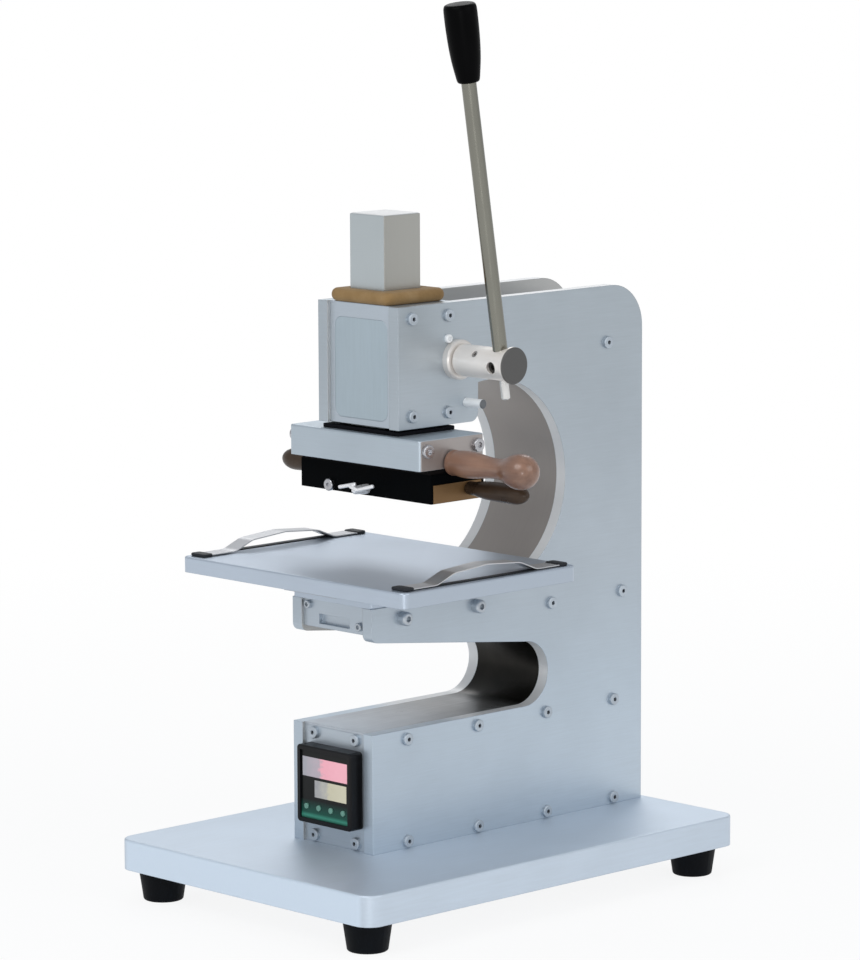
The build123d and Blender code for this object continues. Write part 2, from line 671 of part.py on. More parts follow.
def lower_cover():
    """Bent sheet: top of the lower arm, round the lower throat and under the table arm."""
    t = SHEET_THICKNESS
    arm_bottom = TABLE_ARM_Z - TABLE_ARM_DEPTH
    top = LOWER_ARM_Z + LOWER_THROAT_RADIUS * 2
    front = ARM_PANEL_Y
    high_front = front + FRONT_BAR_DEPTH
    slope = (arm_bottom - top) / (ARM_FRONT_Y - LOWER_THROAT_Y)
    front_z = top + slope * (high_front - LOWER_THROAT_Y)
    sheet = Polygon((front, LOWER_ARM_Z - t), (LOWER_THROAT_Y, LOWER_ARM_Z - t),
                    (LOWER_THROAT_Y, LOWER_ARM_Z), (front, LOWER_ARM_Z), align=None)
    ring = Circle(LOWER_THROAT_RADIUS + t) - Circle(LOWER_THROAT_RADIUS)
    half = Pos(LOWER_THROAT_RADIUS, 0) * Rectangle(LOWER_THROAT_RADIUS * 2,
                                                   LOWER_THROAT_RADIUS * 3)
    sheet += Pos(LOWER_THROAT_Y, LOWER_THROAT_Z) * (ring & half)
    sheet += Polygon((LOWER_THROAT_Y, top), (LOWER_THROAT_Y, top + t),
                     (high_front, front_z + t), (high_front, front_z), align=None)
    return across(sheet, -INNER, INNER)


def throat_liner():
    """Curved sheet that closes the back of the upper throat, from the guide block
    round to the table arm."""
    r = UPPER_THROAT_RADIUS
    outer = r + SHEET_THICKNESS
    start_y = GUIDE_BLOCK_REAR_Y - UPPER_THROAT_Y
    inner_high = math.sqrt(r ** 2 - start_y ** 2)
    outer_high = math.sqrt(outer ** 2 - start_y ** 2)
    face = make_face([
        ThreePointArc((start_y, inner_high), (r, 0), (0, -r)),
        Line((0, -r), (0, -outer)),
        ThreePointArc((0, -outer), (outer, 0), (start_y, outer_high)),
        Line((start_y, outer_high), (start_y, inner_high)),
    ])
    return Pos(0, UPPER_THROAT_Y, UPPER_THROAT_Z) * across(face, -INNER, INNER)


def top_cover():
    """Flat cover deep between the side plates, behind the pad."""
    high = FRAME_HEIGHT - TOP_COVER_DROP
    return block((-INNER, INNER), (WIPER_PAD_REAR_Y, COVER_OUTER_Y - COVER_BEND_RADIUS),
                 (high - SHEET_THICKNESS, high))


def rear_cover():
    """Cover down the back, bent over the round top corner, with the inlet's holes."""
    t = SHEET_THICKNESS
    r = COVER_BEND_RADIUS
    bend = Circle(r) - Circle(r - t)
    bend &= Pos(r, r) * Rectangle(r * 2, r * 2)
    centre_y = COVER_OUTER_Y - r
    sheet = Pos(centre_y, FRAME_HEIGHT - FRAME_TOP_REAR_RADIUS) * bend
    outer = COVER_OUTER_Y
    sheet += Polygon((outer - t, 0), (outer, 0), (outer, FRAME_HEIGHT - FRAME_TOP_REAR_RADIUS),
                     (outer - t, FRAME_HEIGHT - FRAME_TOP_REAR_RADIUS), align=None)
    cover = across(sheet, -INNER, INNER)
    hole = SLIDE_CLEARANCE
    cover -= block((-INLET_WIDTH / 2 - hole, INLET_WIDTH / 2 + hole), (outer - t, outer),
                   (INLET_Z - INLET_HEIGHT / 2 - hole, INLET_Z + INLET_HEIGHT / 2 + hole))
    cover -= block((-SWITCH_WIDTH / 2 - hole, SWITCH_WIDTH / 2 + hole), (outer - t, outer),
                   (SWITCH_Z - SWITCH_HEIGHT / 2 - hole, SWITCH_Z + SWITCH_HEIGHT / 2 + hole))
    for x, z in rear_cover_places():
        cover -= bar_y(SCREW_RADIUS + SEAT_CLEARANCE, x, outer - t, outer, z)
    return cover


# Head: guide block, pad and front panel
def guide_block():
    """Block between the side plates with the ram's square guide, the gear pocket and
    the spring pocket."""
    body = block((-INNER, INNER), (GUIDE_FRONT_Y, GUIDE_BLOCK_REAR_Y),
                 (HEAD_BOTTOM_Z, FRAME_HEIGHT))
    half = RAM_SIZE / 2 + SLIDE_CLEARANCE
    body -= block((-half, half), (RAM_Y - half, RAM_Y + half), (HEAD_BOTTOM_Z, FRAME_HEIGHT))
    reach = PINION_TIP_RADIUS + GEAR_POCKET_CLEARANCE
    side = PINION_WIDTH / 2 + GEAR_POCKET_CLEARANCE
    body -= block((-side, side), (RAM_Y, GUIDE_BLOCK_REAR_Y), (PINION_Z - reach, PINION_Z + reach))
    spring_reach = spring_outer_radius() + GEAR_POCKET_CLEARANCE
    right = -INNER + SPRING_SIDE_GAP * 2 + SPRING_STRIP_WIDTH
    body -= bar_x(spring_reach, -INNER, right, PINION_Y, PINION_Z)
    body -= bar_x(SHAFT_RADIUS + BODY_GAP, -INNER, INNER, PINION_Y, PINION_Z)
    for sign in (-1, 1):
        for y, z in guide_places():
            body -= side_tapping(sign, SCREW_RADIUS, SCREW_LENGTH, y, z)
    body -= side_tapping(1, GUIDE_PIN_RADIUS, SCREW_LENGTH, *guide_pin_place())
    body -= side_tapping(1, BUSH_SCREW_RADIUS, SCREW_LENGTH, *bush_screw_place())
    step = FRAME_HEIGHT - TOP_COVER_DROP - SHEET_THICKNESS
    body -= block((-INNER, INNER), (WIPER_PAD_REAR_Y, GUIDE_BLOCK_REAR_Y), (step, FRAME_HEIGHT))
    recess = head_panel_outline(SEAT_CLEARANCE)
    depth = HEAD_PANEL_THICKNESS
    body -= Pos(0, GUIDE_FRONT_Y + depth, BASE_TOP) * extrude(Plane.XZ * recess, amount=depth)
    return body


def head_panel_outline(margin):
    """Rounded panel in the front of the guide block, drawn in X and height."""
    width = (INNER - HEAD_PANEL_MARGIN_SIDE + margin) * 2
    low = HEAD_BOTTOM_Z + HEAD_PANEL_MARGIN_SIDE - margin
    high = FRAME_HEIGHT - HEAD_PANEL_MARGIN_TOP + margin
    shape = RectangleRounded(width, high - low, HEAD_PANEL_CORNER_RADIUS)
    return Pos(0, (low + high) / 2) * shape


def head_panel():
    """Plain panel let into the front of the guide block."""
    panel = extrude(Plane.XZ * head_panel_outline(0), amount=HEAD_PANEL_THICKNESS)
    return Pos(0, GUIDE_FRONT_Y + HEAD_PANEL_THICKNESS, BASE_TOP) * panel


def wiper_pad():
    """Tan pad on top of the guide block, with the ram's square hole."""
    half = INNER - BODY_GAP
    pad = block((-half, half), (HEAD_FRONT_Y, WIPER_PAD_REAR_Y),
                (FRAME_HEIGHT, FRAME_HEIGHT + WIPER_PAD_HEIGHT))
    pad = fillet(pad.edges().filter_by(Axis.Z), WIPER_PAD_ROUND)
    pad = fillet(pad.edges().group_by(Axis.Z)[-1], WIPER_PAD_ROUND)
    hole = RAM_SIZE / 2 + BODY_GAP
    return pad - block((-hole, hole), (RAM_Y - hole, RAM_Y + hole),
                       (FRAME_HEIGHT, FRAME_HEIGHT + WIPER_PAD_HEIGHT))


# Rack and pinion
def rack_span():
    """Lowest and highest end of the rack: the meshing length plus a margin."""
    reach = PINION_TIP_RADIUS + RACK_END_MARGIN
    return (PINION_Z - reach, PINION_Z + RAM_TRAVEL + reach)


def press_ram():
    """Square ram with a deep slot down its back for the rack."""
    half = RAM_SIZE / 2
    ram = block((-half, half), (RAM_Y - half, RAM_Y + half), (PLATE_TOP_Z, RAM_TOP_Z))
    ram = chamfer(ram.edges().group_by(Axis.Z)[-1], RAM_EDGE_BREAK)
    low, high = rack_span()
    depth = RACK_DEPTH_IN_RAM + RACK_THICKNESS
    slot = block((-RACK_WIDTH / 2, RACK_WIDTH / 2), (RAM_Y + half - depth, RAM_Y + half),
                 (low, high))
    return ram - slot


def press_rack():
    """Rack bar with straight sided teeth facing the back."""
    low, high = rack_span()
    tip_y = RACK_PITCH_Y + GEAR_MODULE
    root_y = RACK_PITCH_Y - GEAR_MODULE * 1.25
    back_y = tip_y - RACK_THICKNESS
    lean = math.tan(math.radians(PRESSURE_ANGLE))
    pitch = math.pi * GEAR_MODULE
    half = pitch / 4 - TOOTH_BACKLASH / 2
    bar = Polygon((back_y, low), (root_y, low), (root_y, high), (back_y, high), align=None)
    teeth = math.floor((high - low) / pitch)
    first = PINION_Z + pitch / 2
    below = math.floor((first - low) / pitch - 0.5)
    for i in range(-below, teeth - below - 1):
        z = first + i * pitch
        root_half = half + (RACK_PITCH_Y - root_y) * lean
        tip_half = half - (tip_y - RACK_PITCH_Y) * lean
        bar += Polygon((root_y, z - root_half), (tip_y, z - tip_half),
                       (tip_y, z + tip_half), (root_y, z + root_half), align=None)
    width = RACK_WIDTH / 2
    return across(bar, -width, width)


def involute_half_angle(radius):
    """Half of the angle that a pinion tooth covers at a radius."""
    base = PITCH_RADIUS * math.cos(math.radians(PRESSURE_ANGLE))
    at_pitch = math.radians(PRESSURE_ANGLE)
    here = math.acos(min(1.0, base / radius))
    spread = (math.tan(at_pitch) - at_pitch) - (math.tan(here) - here)
    backlash = TOOTH_BACKLASH / 2 / PITCH_RADIUS
    return math.pi / 2 / PINION_TEETH - backlash + spread


def drive_pinion():
    """Spur pinion with involute flanks, bored and slotted for its key."""
    base = PITCH_RADIUS * math.cos(math.radians(PRESSURE_ANGLE))
    root = PITCH_RADIUS - GEAR_MODULE * 1.25
    radii = (base, (base + PINION_TIP_RADIUS) / 2, PINION_TIP_RADIUS)

    def point(radius, angle):
        return (radius * math.cos(angle), radius * math.sin(angle))

    edges = []
    step = 2 * math.pi / PINION_TEETH
    for i in range(PINION_TEETH):
        middle = math.pi + i * step
        start = [point(r, middle - involute_half_angle(r)) for r in radii]
        end = [point(r, middle + involute_half_angle(r)) for r in reversed(radii)]
        foot = involute_half_angle(base)
        root_in = point(root, middle - foot)
        root_out = point(root, middle + foot)
        next_root = point(root, middle + step - foot)
        edges.append(Line(root_in, start[0]))
        edges.append(ThreePointArc(*start))
        edges.append(ThreePointArc(start[2], point(PINION_TIP_RADIUS, middle), end[0]))
        edges.append(ThreePointArc(*end))
        edges.append(Line(end[2], root_out))
        edges.append(ThreePointArc(root_out, point(root, middle + step / 2), next_root))
    face = make_face(edges)
    gear = Pos(-PINION_WIDTH / 2, PINION_Y, up(PINION_Z)) * extrude(Plane.YZ * face,
                                                                    amount=PINION_WIDTH)
    gear -= bar_x(SHAFT_RADIUS + SEAT_CLEARANCE, -PINION_WIDTH, PINION_WIDTH, PINION_Y, PINION_Z)
    return gear - key_bar(PINION_WIDTH / 2, SEAT_CLEARANCE)


def key_bar(half_length, margin):
    """Key along the shaft, half in the shaft and half in the pinion."""
    half = KEY_WIDTH / 2 + margin
    low = PINION_Z + SHAFT_RADIUS - KEY_SHAFT_DEPTH - margin
    return block((-half_length, half_length), (PINION_Y - half, PINION_Y + half),
                 (low, low + KEY_HEIGHT + margin * 2))


def pinion_shaft():
    """Shaft through both side plates and into the lever's hub."""
    left = -HALF_FRAME - BUSH_FLANGE_THICKNESS - SHAFT_LEFT_OVERHANG
    right = ROD_X - ROD_RADIUS - 1
    shaft = bar_x(SHAFT_RADIUS, left, BUSH_FACE_X, PINION_Y, PINION_Z)
    shaft = chamfer(shaft.edges().filter_by(GeomType.CIRCLE), 1)
    shaft += bar_x(HUB_SHAFT_RADIUS, BUSH_FACE_X - 1, right, PINION_Y, PINION_Z)
    groove_x = -HALF_FRAME - BUSH_FLANGE_THICKNESS - BODY_GAP
    groove = bar_x(SHAFT_RADIUS, groove_x - RING_THICKNESS, groove_x, PINION_Y, PINION_Z)
    groove -= bar_x(SHAFT_RADIUS - 1, groove_x - RING_THICKNESS, groove_x, PINION_Y, PINION_Z)
    return shaft - groove - key_bar(PINION_WIDTH / 2, SEAT_CLEARANCE)


def retaining_ring():
    """Open ring in the shaft's groove, outside the left bush."""
    x1 = -HALF_FRAME - BUSH_FLANGE_THICKNESS - BODY_GAP
    x0 = x1 - RING_THICKNESS
    ring = bar_x(RING_RADIUS, x0, x1, PINION_Y, PINION_Z)
    ring -= bar_x(SHAFT_RADIUS - 1 + SEAT_CLEARANCE, x0, x1, PINION_Y, PINION_Z)
    gap = SHAFT_RADIUS / 2
    return ring - block((x0, x1), (PINION_Y - gap, PINION_Y + gap),
                        (PINION_Z - RING_RADIUS, PINION_Z))


def bearing_bushes():
    """Flanged bushes in the two side plates, flanges outside."""
    bushes = []
    for sign in (-1, 1):
        inner, outer, face = (sign * v for v in (INNER, HALF_FRAME, BUSH_FACE_X))
        bush = bar_x(BUSH_RADIUS, *sorted((inner, outer)), PINION_Y, PINION_Z)
        flange = bar_x(BUSH_FLANGE_RADIUS, *sorted((outer, face)), PINION_Y, PINION_Z)
        rims = flange.edges().filter_by(GeomType.CIRCLE).sort_by(Axis.X)
        bush += chamfer(rims[-1] if sign > 0 else rims[0], 1)
        bushes.append(bush - bar_x(SHAFT_RADIUS + RUNNING_CLEARANCE, *sorted((inner, face)),
                                   PINION_Y, PINION_Z))
    return Compound(bushes)


def spring_outer_radius():
    """Largest radius of the return spring."""
    return SPRING_INNER_RADIUS + SPRING_STRIP_THICKNESS + SPRING_TURN_PITCH * SPRING_HALF_TURNS / 2


def return_spring():
    """Spiral strip spring beside the pinion that lifts the ram again. Half turns on
    two centres, half a pitch apart, make one unbroken strip."""
    half = SPRING_STRIP_THICKNESS / 2
    strip = None
    for i in range(SPRING_HALF_TURNS):
        radius = SPRING_INNER_RADIUS + half + SPRING_TURN_PITCH * i / 2
        side = 1 if i % 2 == 0 else -1
        ring = Circle(radius + half) - Circle(radius - half)
        cover = Pos(0, side * radius) * Rectangle(radius * 4, radius * 2)
        turn = Pos(-side * SPRING_TURN_PITCH / 4, 0) * (ring & cover)
        strip = turn if strip is None else strip + turn
    spring = extrude(Plane.YZ * strip, amount=SPRING_STRIP_WIDTH)
    return Pos(-INNER + SPRING_SIDE_GAP, PINION_Y, up(PINION_Z)) * spring


# Lever
def lever_place():
    """Frame on the pinion's axis whose Z runs up the lever."""
    return Pos(ROD_X, PINION_Y, up(PINION_Z)) * Rot(LEVER_LEAN, 0, 0)


def lever_hub():
    """Round hub outside the right side plate with a wider end, cross drilled for the lever."""
    hub = bar_x(HUB_RADIUS, HUB_START_X, HUB_END_X, PINION_Y, PINION_Z)
    hub = chamfer(hub.edges().filter_by(GeomType.CIRCLE), HUB_EDGE_BREAK)
    cap = bar_x(HUB_CAP_RADIUS, HUB_END_X - HUB_CAP_THICKNESS, HUB_END_X, PINION_Y, PINION_Z)
    hub += fillet(cap.edges().filter_by(GeomType.CIRCLE), HUB_EDGE_BREAK)
    end = ROD_X - ROD_RADIUS - 1
    hub -= bar_x(HUB_SHAFT_RADIUS + SEAT_CLEARANCE, HUB_START_X, end, PINION_Y, PINION_Z)
    hub -= lever_place() * Cylinder(ROD_TAIL_RADIUS + SEAT_CLEARANCE, HUB_RADIUS * 3)
    hub -= lever_place() * Pos(0, 0, -ROD_STEP - SEAT_CLEARANCE) * Cylinder(
        ROD_RADIUS + SEAT_CLEARANCE, HUB_RADIUS * 3, align=(Align.CENTER, Align.CENTER, Align.MIN))
    for place, radius in set_screw_places():
        hub -= place * Cylinder(radius + SEAT_CLEARANCE, HUB_RADIUS,
                                align=(Align.CENTER, Align.CENTER, Align.MIN))
    return hub


def set_screw_places():
    """Two tapped holes in the hub: one on the lever, one smaller on the shaft.
    Their Z points outwards from the axis."""
    on_lever = lever_place() * Rot(90, 0, 0)
    shift = ROD_RADIUS * 3.4
    on_shaft = lever_place() * Pos(-shift, 0, 0) * Rot(45, 0, 0)
    return [(on_lever, SET_SCREW_RADIUS), (on_shaft, SET_SCREW_RADIUS * 0.6)]


def hub_set_screws():
    """Grub screws, sunk below the hub's surface."""
    screws = []
    for (place, radius), seat in zip(set_screw_places(), (ROD_RADIUS, HUB_SHAFT_RADIUS)):
        length = min(SET_SCREW_LENGTH, HUB_RADIUS - seat - 0.4)
        grub = Pos(0, 0, seat + SEAT_CLEARANCE + length / 2) * Cylinder(radius, length)
        socket = extrude(RegularPolygon(radius * 0.5, 6), amount=length / 2)
        grub -= Pos(0, 0, seat + SEAT_CLEARANCE + length / 2) * socket
        screws.append(place * grub)
    return Compound(screws)


def lever_rod():
    """Round rod in the hub, with a thinner tail that comes out below it."""
    length = ROD_STEP + GRIP_START + GRIP_BORE_DEPTH
    rod = Pos(0, 0, length / 2 - ROD_STEP) * Cylinder(ROD_RADIUS, length)
    rod = chamfer(rod.edges().filter_by(GeomType.CIRCLE), 0.8)
    tail = Pos(0, 0, -ROD_TAIL / 2) * Cylinder(ROD_TAIL_RADIUS, ROD_TAIL)
    return lever_place() * (rod + chamfer(tail.edges().filter_by(GeomType.CIRCLE), 0.8))


def lever_grip():
    """Tapered grip with a flat end, bored for the rod."""
    end = GRIP_START + GRIP_LENGTH
    side = Spline((GRIP_NECK_RADIUS, GRIP_START + 2), (GRIP_RADIUS * 0.86, GRIP_START + GRIP_SHOULDER),
                  (GRIP_RADIUS * 0.97, GRIP_START + GRIP_SWELL), (GRIP_RADIUS, end - 2))
    profile = make_face([
        Line((0, GRIP_START), (GRIP_NECK_RADIUS - 2, GRIP_START)),
        Line((GRIP_NECK_RADIUS - 2, GRIP_START), (GRIP_NECK_RADIUS, GRIP_START + 2)),
        side,
        Line((GRIP_RADIUS, end - 2), (GRIP_RADIUS - 2, end)),
        Line((GRIP_RADIUS - 2, end), (0, end)),
        Line((0, end), (0, GRIP_START)),
    ])
    grip = revolve(Plane.XZ * profile, axis=Axis.Z)
    bore = Cylinder(ROD_RADIUS + SEAT_CLEARANCE, GRIP_BORE_DEPTH)
    return lever_place() * (grip - Pos(0, 0, GRIP_START + GRIP_BORE_DEPTH / 2) * bore)


# Heated head
def pressure_plate():
    """Aluminium plate under the ram."""
    half = PRESS_PLATE_DEPTH / 2
    plate = block((-HALF_HEAD, HALF_HEAD), (RAM_Y - half, RAM_Y + half),
                  (PLATE_BOTTOM_Z, PLATE_TOP_Z))
    plate = fillet(plate.edges().filter_by(Axis.Z), 2)
    plate = fillet(plate.edges().group_by(Axis.Z)[-1], 1)
    for sign in (-1, 1):
        depth = CAP_SCREW_LENGTH + 1
        x0, x1 = sorted((sign * (HALF_HEAD - depth), sign * HALF_HEAD))
        for y in plate_screw_rows():
            plate -= bar_x(CAP_SCREW_RADIUS + SEAT_CLEARANCE, x0, x1, y, plate_screw_z())
    return plate - bar_x(SCREW_RADIUS + SEAT_CLEARANCE, HALF_HEAD - HANDLE_STUD_DEPTH, HALF_HEAD,
                         RAM_Y, HANDLE_Z)


def plate_screw_rows():
    """Y of the two screws in each end of the pressure plate."""
    return (RAM_Y - PRESS_PLATE_DEPTH / 2 + 6, RAM_Y + PRESS_PLATE_DEPTH / 2 - 6)


def plate_screw_z():
    """Height of the screws in the ends of the pressure plate."""
    return PLATE_TOP_Z - PRESS_PLATE_THICKNESS * 0.36


def plate_screws():
    """Low headed screws in both ends of the pressure plate, and the lock screw in
    the front of the heater block."""
    screws = []
    flat = screw(CAP_HEAD_RADIUS, 2.6, CAP_SCREW_RADIUS, CAP_SCREW_LENGTH, CAP_HEX_RADIUS, 1.4)
    for sign, direction in ((-1, "-X"), (1, "+X")):
        for y in plate_screw_rows():
            screws.append(facing(sign * HALF_HEAD, y, plate_screw_z(), direction) * flat)
    z = HEATER_BOTTOM_Z + LOCK_SCREW_RISE
    front = heater_lip_depth()
    lock = screw(SCREW_HEAD_RADIUS, 2.6, SCREW_RADIUS, front, HEX_RECESS_RADIUS, 1.4)
    screws.append(facing(LOCK_SCREW_X, HEATER_FRONT_Y, z, "-Y") * lock)
    return Compound(screws)


def heater_lip_depth():
    """Depth of the heater block's wall in front of the die plate's slot."""
    return (HEATER_REAR_Y - HEATER_FRONT_Y - DIE_PLATE_WIDTH) / 2 - BODY_GAP


def insulating_plate():
    """Heat resistant board between pressure plate and heater block."""
    return block((-HALF_HEAD + 1, HALF_HEAD - 1), (HEATER_FRONT_Y, HEATER_REAR_Y),
                 (HEATER_TOP_Z, PLATE_BOTTOM_Z))


def die_profile(margin):
    """Stepped section of the die plate, wide above, drawn in Y and height."""
    half = DIE_PLATE_WIDTH / 2 + margin
    tongue = half - DIE_TONGUE_STEP
    low = HEATER_BOTTOM_Z
    step = low + DIE_TONGUE_HEIGHT - margin
    top = DIE_TOP_Z + margin
    centre = HEATER_Y
    return Polygon((centre - tongue, low), (centre + tongue, low), (centre + tongue, step),
                   (centre + half, step), (centre + half, top), (centre - half, top),
                   (centre - half, step), (centre - tongue, step), align=None)


def heater_block():
    """Black heated block with a stepped slot for the die plate, bored for the
    cartridges, the probe and the clamp screws."""
    right = HALF_HEAD - DIE_END_THICKNESS - BODY_GAP
    body = block((-HALF_HEAD, HALF_HEAD), (HEATER_FRONT_Y, HEATER_REAR_Y),
                 (HEATER_BOTTOM_Z, HEATER_TOP_Z))
    body -= block((right, HALF_HEAD), (HEATER_FRONT_Y + DIE_END_LIP, HEATER_REAR_Y - DIE_END_LIP),
                  (HEATER_BOTTOM_Z, DIE_TOP_Z + BODY_GAP))
    body -= across(die_profile(BODY_GAP), -HALF_HEAD + PANEL_THICKNESS, HALF_HEAD)
    for y in cartridge_rows():
        body -= bar_x(CARTRIDGE_RADIUS + SEAT_CLEARANCE, -HALF_HEAD,
                      -HALF_HEAD + CARTRIDGE_LENGTH, y, cartridge_z())
    body -= bar_x(PROBE_RADIUS + SEAT_CLEARANCE, -HALF_HEAD, -HALF_HEAD + PROBE_LENGTH,
                  HEATER_REAR_Y - 3, cartridge_z())
    body -= bar_x(KNOB_SPINDLE_RADIUS + RUNNING_CLEARANCE, -HALF_HEAD,
                  -HALF_HEAD + PANEL_THICKNESS, HEATER_Y, KNOB_Z)
    for x, radius, rise in ((WING_X, WING_STEM_RADIUS + RUNNING_CLEARANCE, WING_RISE),
                            (LOCK_SCREW_X, SCREW_RADIUS + SEAT_CLEARANCE, LOCK_SCREW_RISE)):
        body -= bar_y(radius, x, HEATER_FRONT_Y, HEATER_FRONT_Y + heater_lip_depth() + 1,
                      HEATER_BOTTOM_Z + rise)
    return body


def cartridge_rows():
    """Y of the two heating cartridges."""
    return (HEATER_Y - DIE_PLATE_WIDTH / 4, HEATER_Y + DIE_PLATE_WIDTH / 4)


def cartridge_z():
    """Height of the cartridges, in the web above the die plate's slot."""
    return (DIE_TOP_Z + BODY_GAP + HEATER_TOP_Z) / 2


def heater_cartridges():
    """Two heating cartridges."""
    return Compound([bar_x(CARTRIDGE_RADIUS, -HALF_HEAD, -HALF_HEAD + CARTRIDGE_LENGTH, y,
                           cartridge_z()) for y in cartridge_rows()])


def heat_probe():
    """Thermocouple in the back edge of the heater block."""
    return bar_x(PROBE_RADIUS, -HALF_HEAD, -HALF_HEAD + PROBE_LENGTH, HEATER_REAR_Y - 3,
                 cartridge_z())


def die_plate():
    """Brass die plate in the heater block's slot, with a wider end piece on its right
    that the knob's spindle holds. Four tapped holes below take a die."""
    left = -HALF_HEAD + PANEL_THICKNESS + BODY_GAP
    end_x = HALF_HEAD - DIE_END_THICKNESS
    plate = across(die_profile(0), left, end_x - SEAT_CLEARANCE)
    side = DIE_END_LIP + BODY_GAP
    end = block((end_x, HALF_HEAD), (HEATER_FRONT_Y + side, HEATER_REAR_Y - side),
                (HEATER_BOTTOM_Z, DIE_TOP_Z))
    spindle = bar_x(KNOB_SPINDLE_RADIUS + SEAT_CLEARANCE, HALF_HEAD - DIE_KNOB_SPINDLE, HALF_HEAD,
                    DIE_KNOB_Y, die_knob_z())
    plate -= spindle
    end -= spindle
    for x in (-DIE_SCREW_PITCH_X / 2, DIE_SCREW_PITCH_X / 2):
        for y in (HEATER_Y - DIE_SCREW_PITCH_Y / 2, HEATER_Y + DIE_SCREW_PITCH_Y / 2):
            plate -= bar_z(DIE_SCREW_RADIUS, x, y, HEATER_BOTTOM_Z, DIE_TOP_Z)
    return Compound([plate, end])


def press_handle():
    """Turned wooden handle with a ball end, on the right end of the pressure plate."""
    start = HALF_HEAD
    base = HANDLE_BASE_RADIUS
    r = HANDLE_BALL_RADIUS
    neck_x = HANDLE_BALL_X - r * math.cos(math.radians(35))
    neck_r = r * math.sin(math.radians(35))
    side = Spline((start + 1, base), (start + HANDLE_SWELL, base * 1.04),
                  (HANDLE_WAIST_X, HANDLE_WAIST_RADIUS), (neck_x, neck_r))
    ball = ThreePointArc((neck_x, neck_r), (HANDLE_BALL_X, r), (HANDLE_END_X, 0))
    profile = make_face([
        Line((start, 0), (start, base - 1)),
        Line((start, base - 1), (start + 1, base)),
        side,
        ball,
        Line((HANDLE_END_X, 0), (start, 0)),
    ])
    handle = Pos(0, RAM_Y, up(HANDLE_Z)) * revolve(profile, axis=Axis.X)
    return handle - bar_x(SCREW_RADIUS + SEAT_CLEARANCE, start, HANDLE_WAIST_X, RAM_Y, HANDLE_Z)


def handle_stud():
    """Stud that joins the pressure plate and the wooden handle."""
    return bar_x(SCREW_RADIUS, HALF_HEAD - HANDLE_STUD_DEPTH + 1, HANDLE_WAIST_X - 1, RAM_Y,
                 HANDLE_Z)


def knob_body(spindle, neck, length, radius):
    """Round ended knob along +X from the origin, with a spindle behind it."""
    end = neck + length
    diagonal = radius * math.cos(math.radians(45))
    profile = make_face([
        Line((-spindle, 0), (-spindle, KNOB_SPINDLE_RADIUS)),
        Line((-spindle, KNOB_SPINDLE_RADIUS), (0, KNOB_SPINDLE_RADIUS)),
        Line((0, KNOB_SPINDLE_RADIUS), (0, KNOB_NECK_RADIUS)),
        Line((0, KNOB_NECK_RADIUS), (neck, KNOB_NECK_RADIUS)),
        Line((neck, KNOB_NECK_RADIUS), (end - radius, radius)),
        ThreePointArc((end - radius, radius), (end - radius + diagonal, diagonal), (end, 0)),
        Line((end, 0), (-spindle, 0)),
    ])
    return revolve(profile, axis=Axis.X)


def die_knob_z():
    """Height of the die plate's pull knob."""
    return (HEATER_BOTTOM_Z + DIE_TOP_Z) / 2 + DIE_KNOB_RISE


def die_knob():
    """Pull knob screwed into the right end of the die plate."""
    knob = knob_body(DIE_KNOB_SPINDLE - 1, KNOB_NECK_LENGTH, DIE_KNOB_LENGTH, DIE_KNOB_RADIUS)
    return Pos(HALF_HEAD, DIE_KNOB_Y, up(die_knob_z())) * knob


def clamp_knob():
    """Knob with a spindle through the heater block's left wall."""
    spindle = PANEL_THICKNESS + BODY_GAP - 0.1
    place = Pos(-HALF_HEAD - BODY_GAP, HEATER_Y, up(KNOB_Z)) * Rot(0, 0, 180)
    return place * knob_body(spindle, KNOB_NECK_LENGTH, KNOB_LENGTH, KNOB_RADIUS)


def wing_screw():
    """Wing screw through the heater block's front wall, beside the die plate."""
    z = HEATER_BOTTOM_Z + WING_RISE
    front = HEATER_FRONT_Y - BODY_GAP
    body = bar_y(WING_BOSS_RADIUS, WING_X, front - WING_BOSS_LENGTH, front, z)
    body += bar_y(WING_STEM_RADIUS, WING_X, front - 1, HEATER_FRONT_Y + heater_lip_depth(), z)
    y = front - WING_BOSS_LENGTH + WING_THICKNESS
    for sign in (-1, 1):
        half = WING_SPAN / 2
        ear = Polygon((0, -WING_BOSS_RADIUS * 0.8), (half * 0.8, -WING_HEIGHT * 0.1),
                      (half, WING_HEIGHT * 0.5), (half * 0.8, WING_HEIGHT),
                      (0, WING_BOSS_RADIUS * 0.8), align=None)
        for corner in ((half * 0.8, -WING_HEIGHT * 0.1), (half, WING_HEIGHT * 0.5),
                       (half * 0.8, WING_HEIGHT)):
            ear = round_corner(ear, *corner, WING_HEIGHT * 0.2)
        ear = extrude(Plane.XZ * ear, amount=WING_THICKNESS / 2, both=True)
        if sign < 0:
            ear = mirror(ear, about=Plane.YZ)
        body += Pos(WING_X, y, up(z)) * ear
    return body


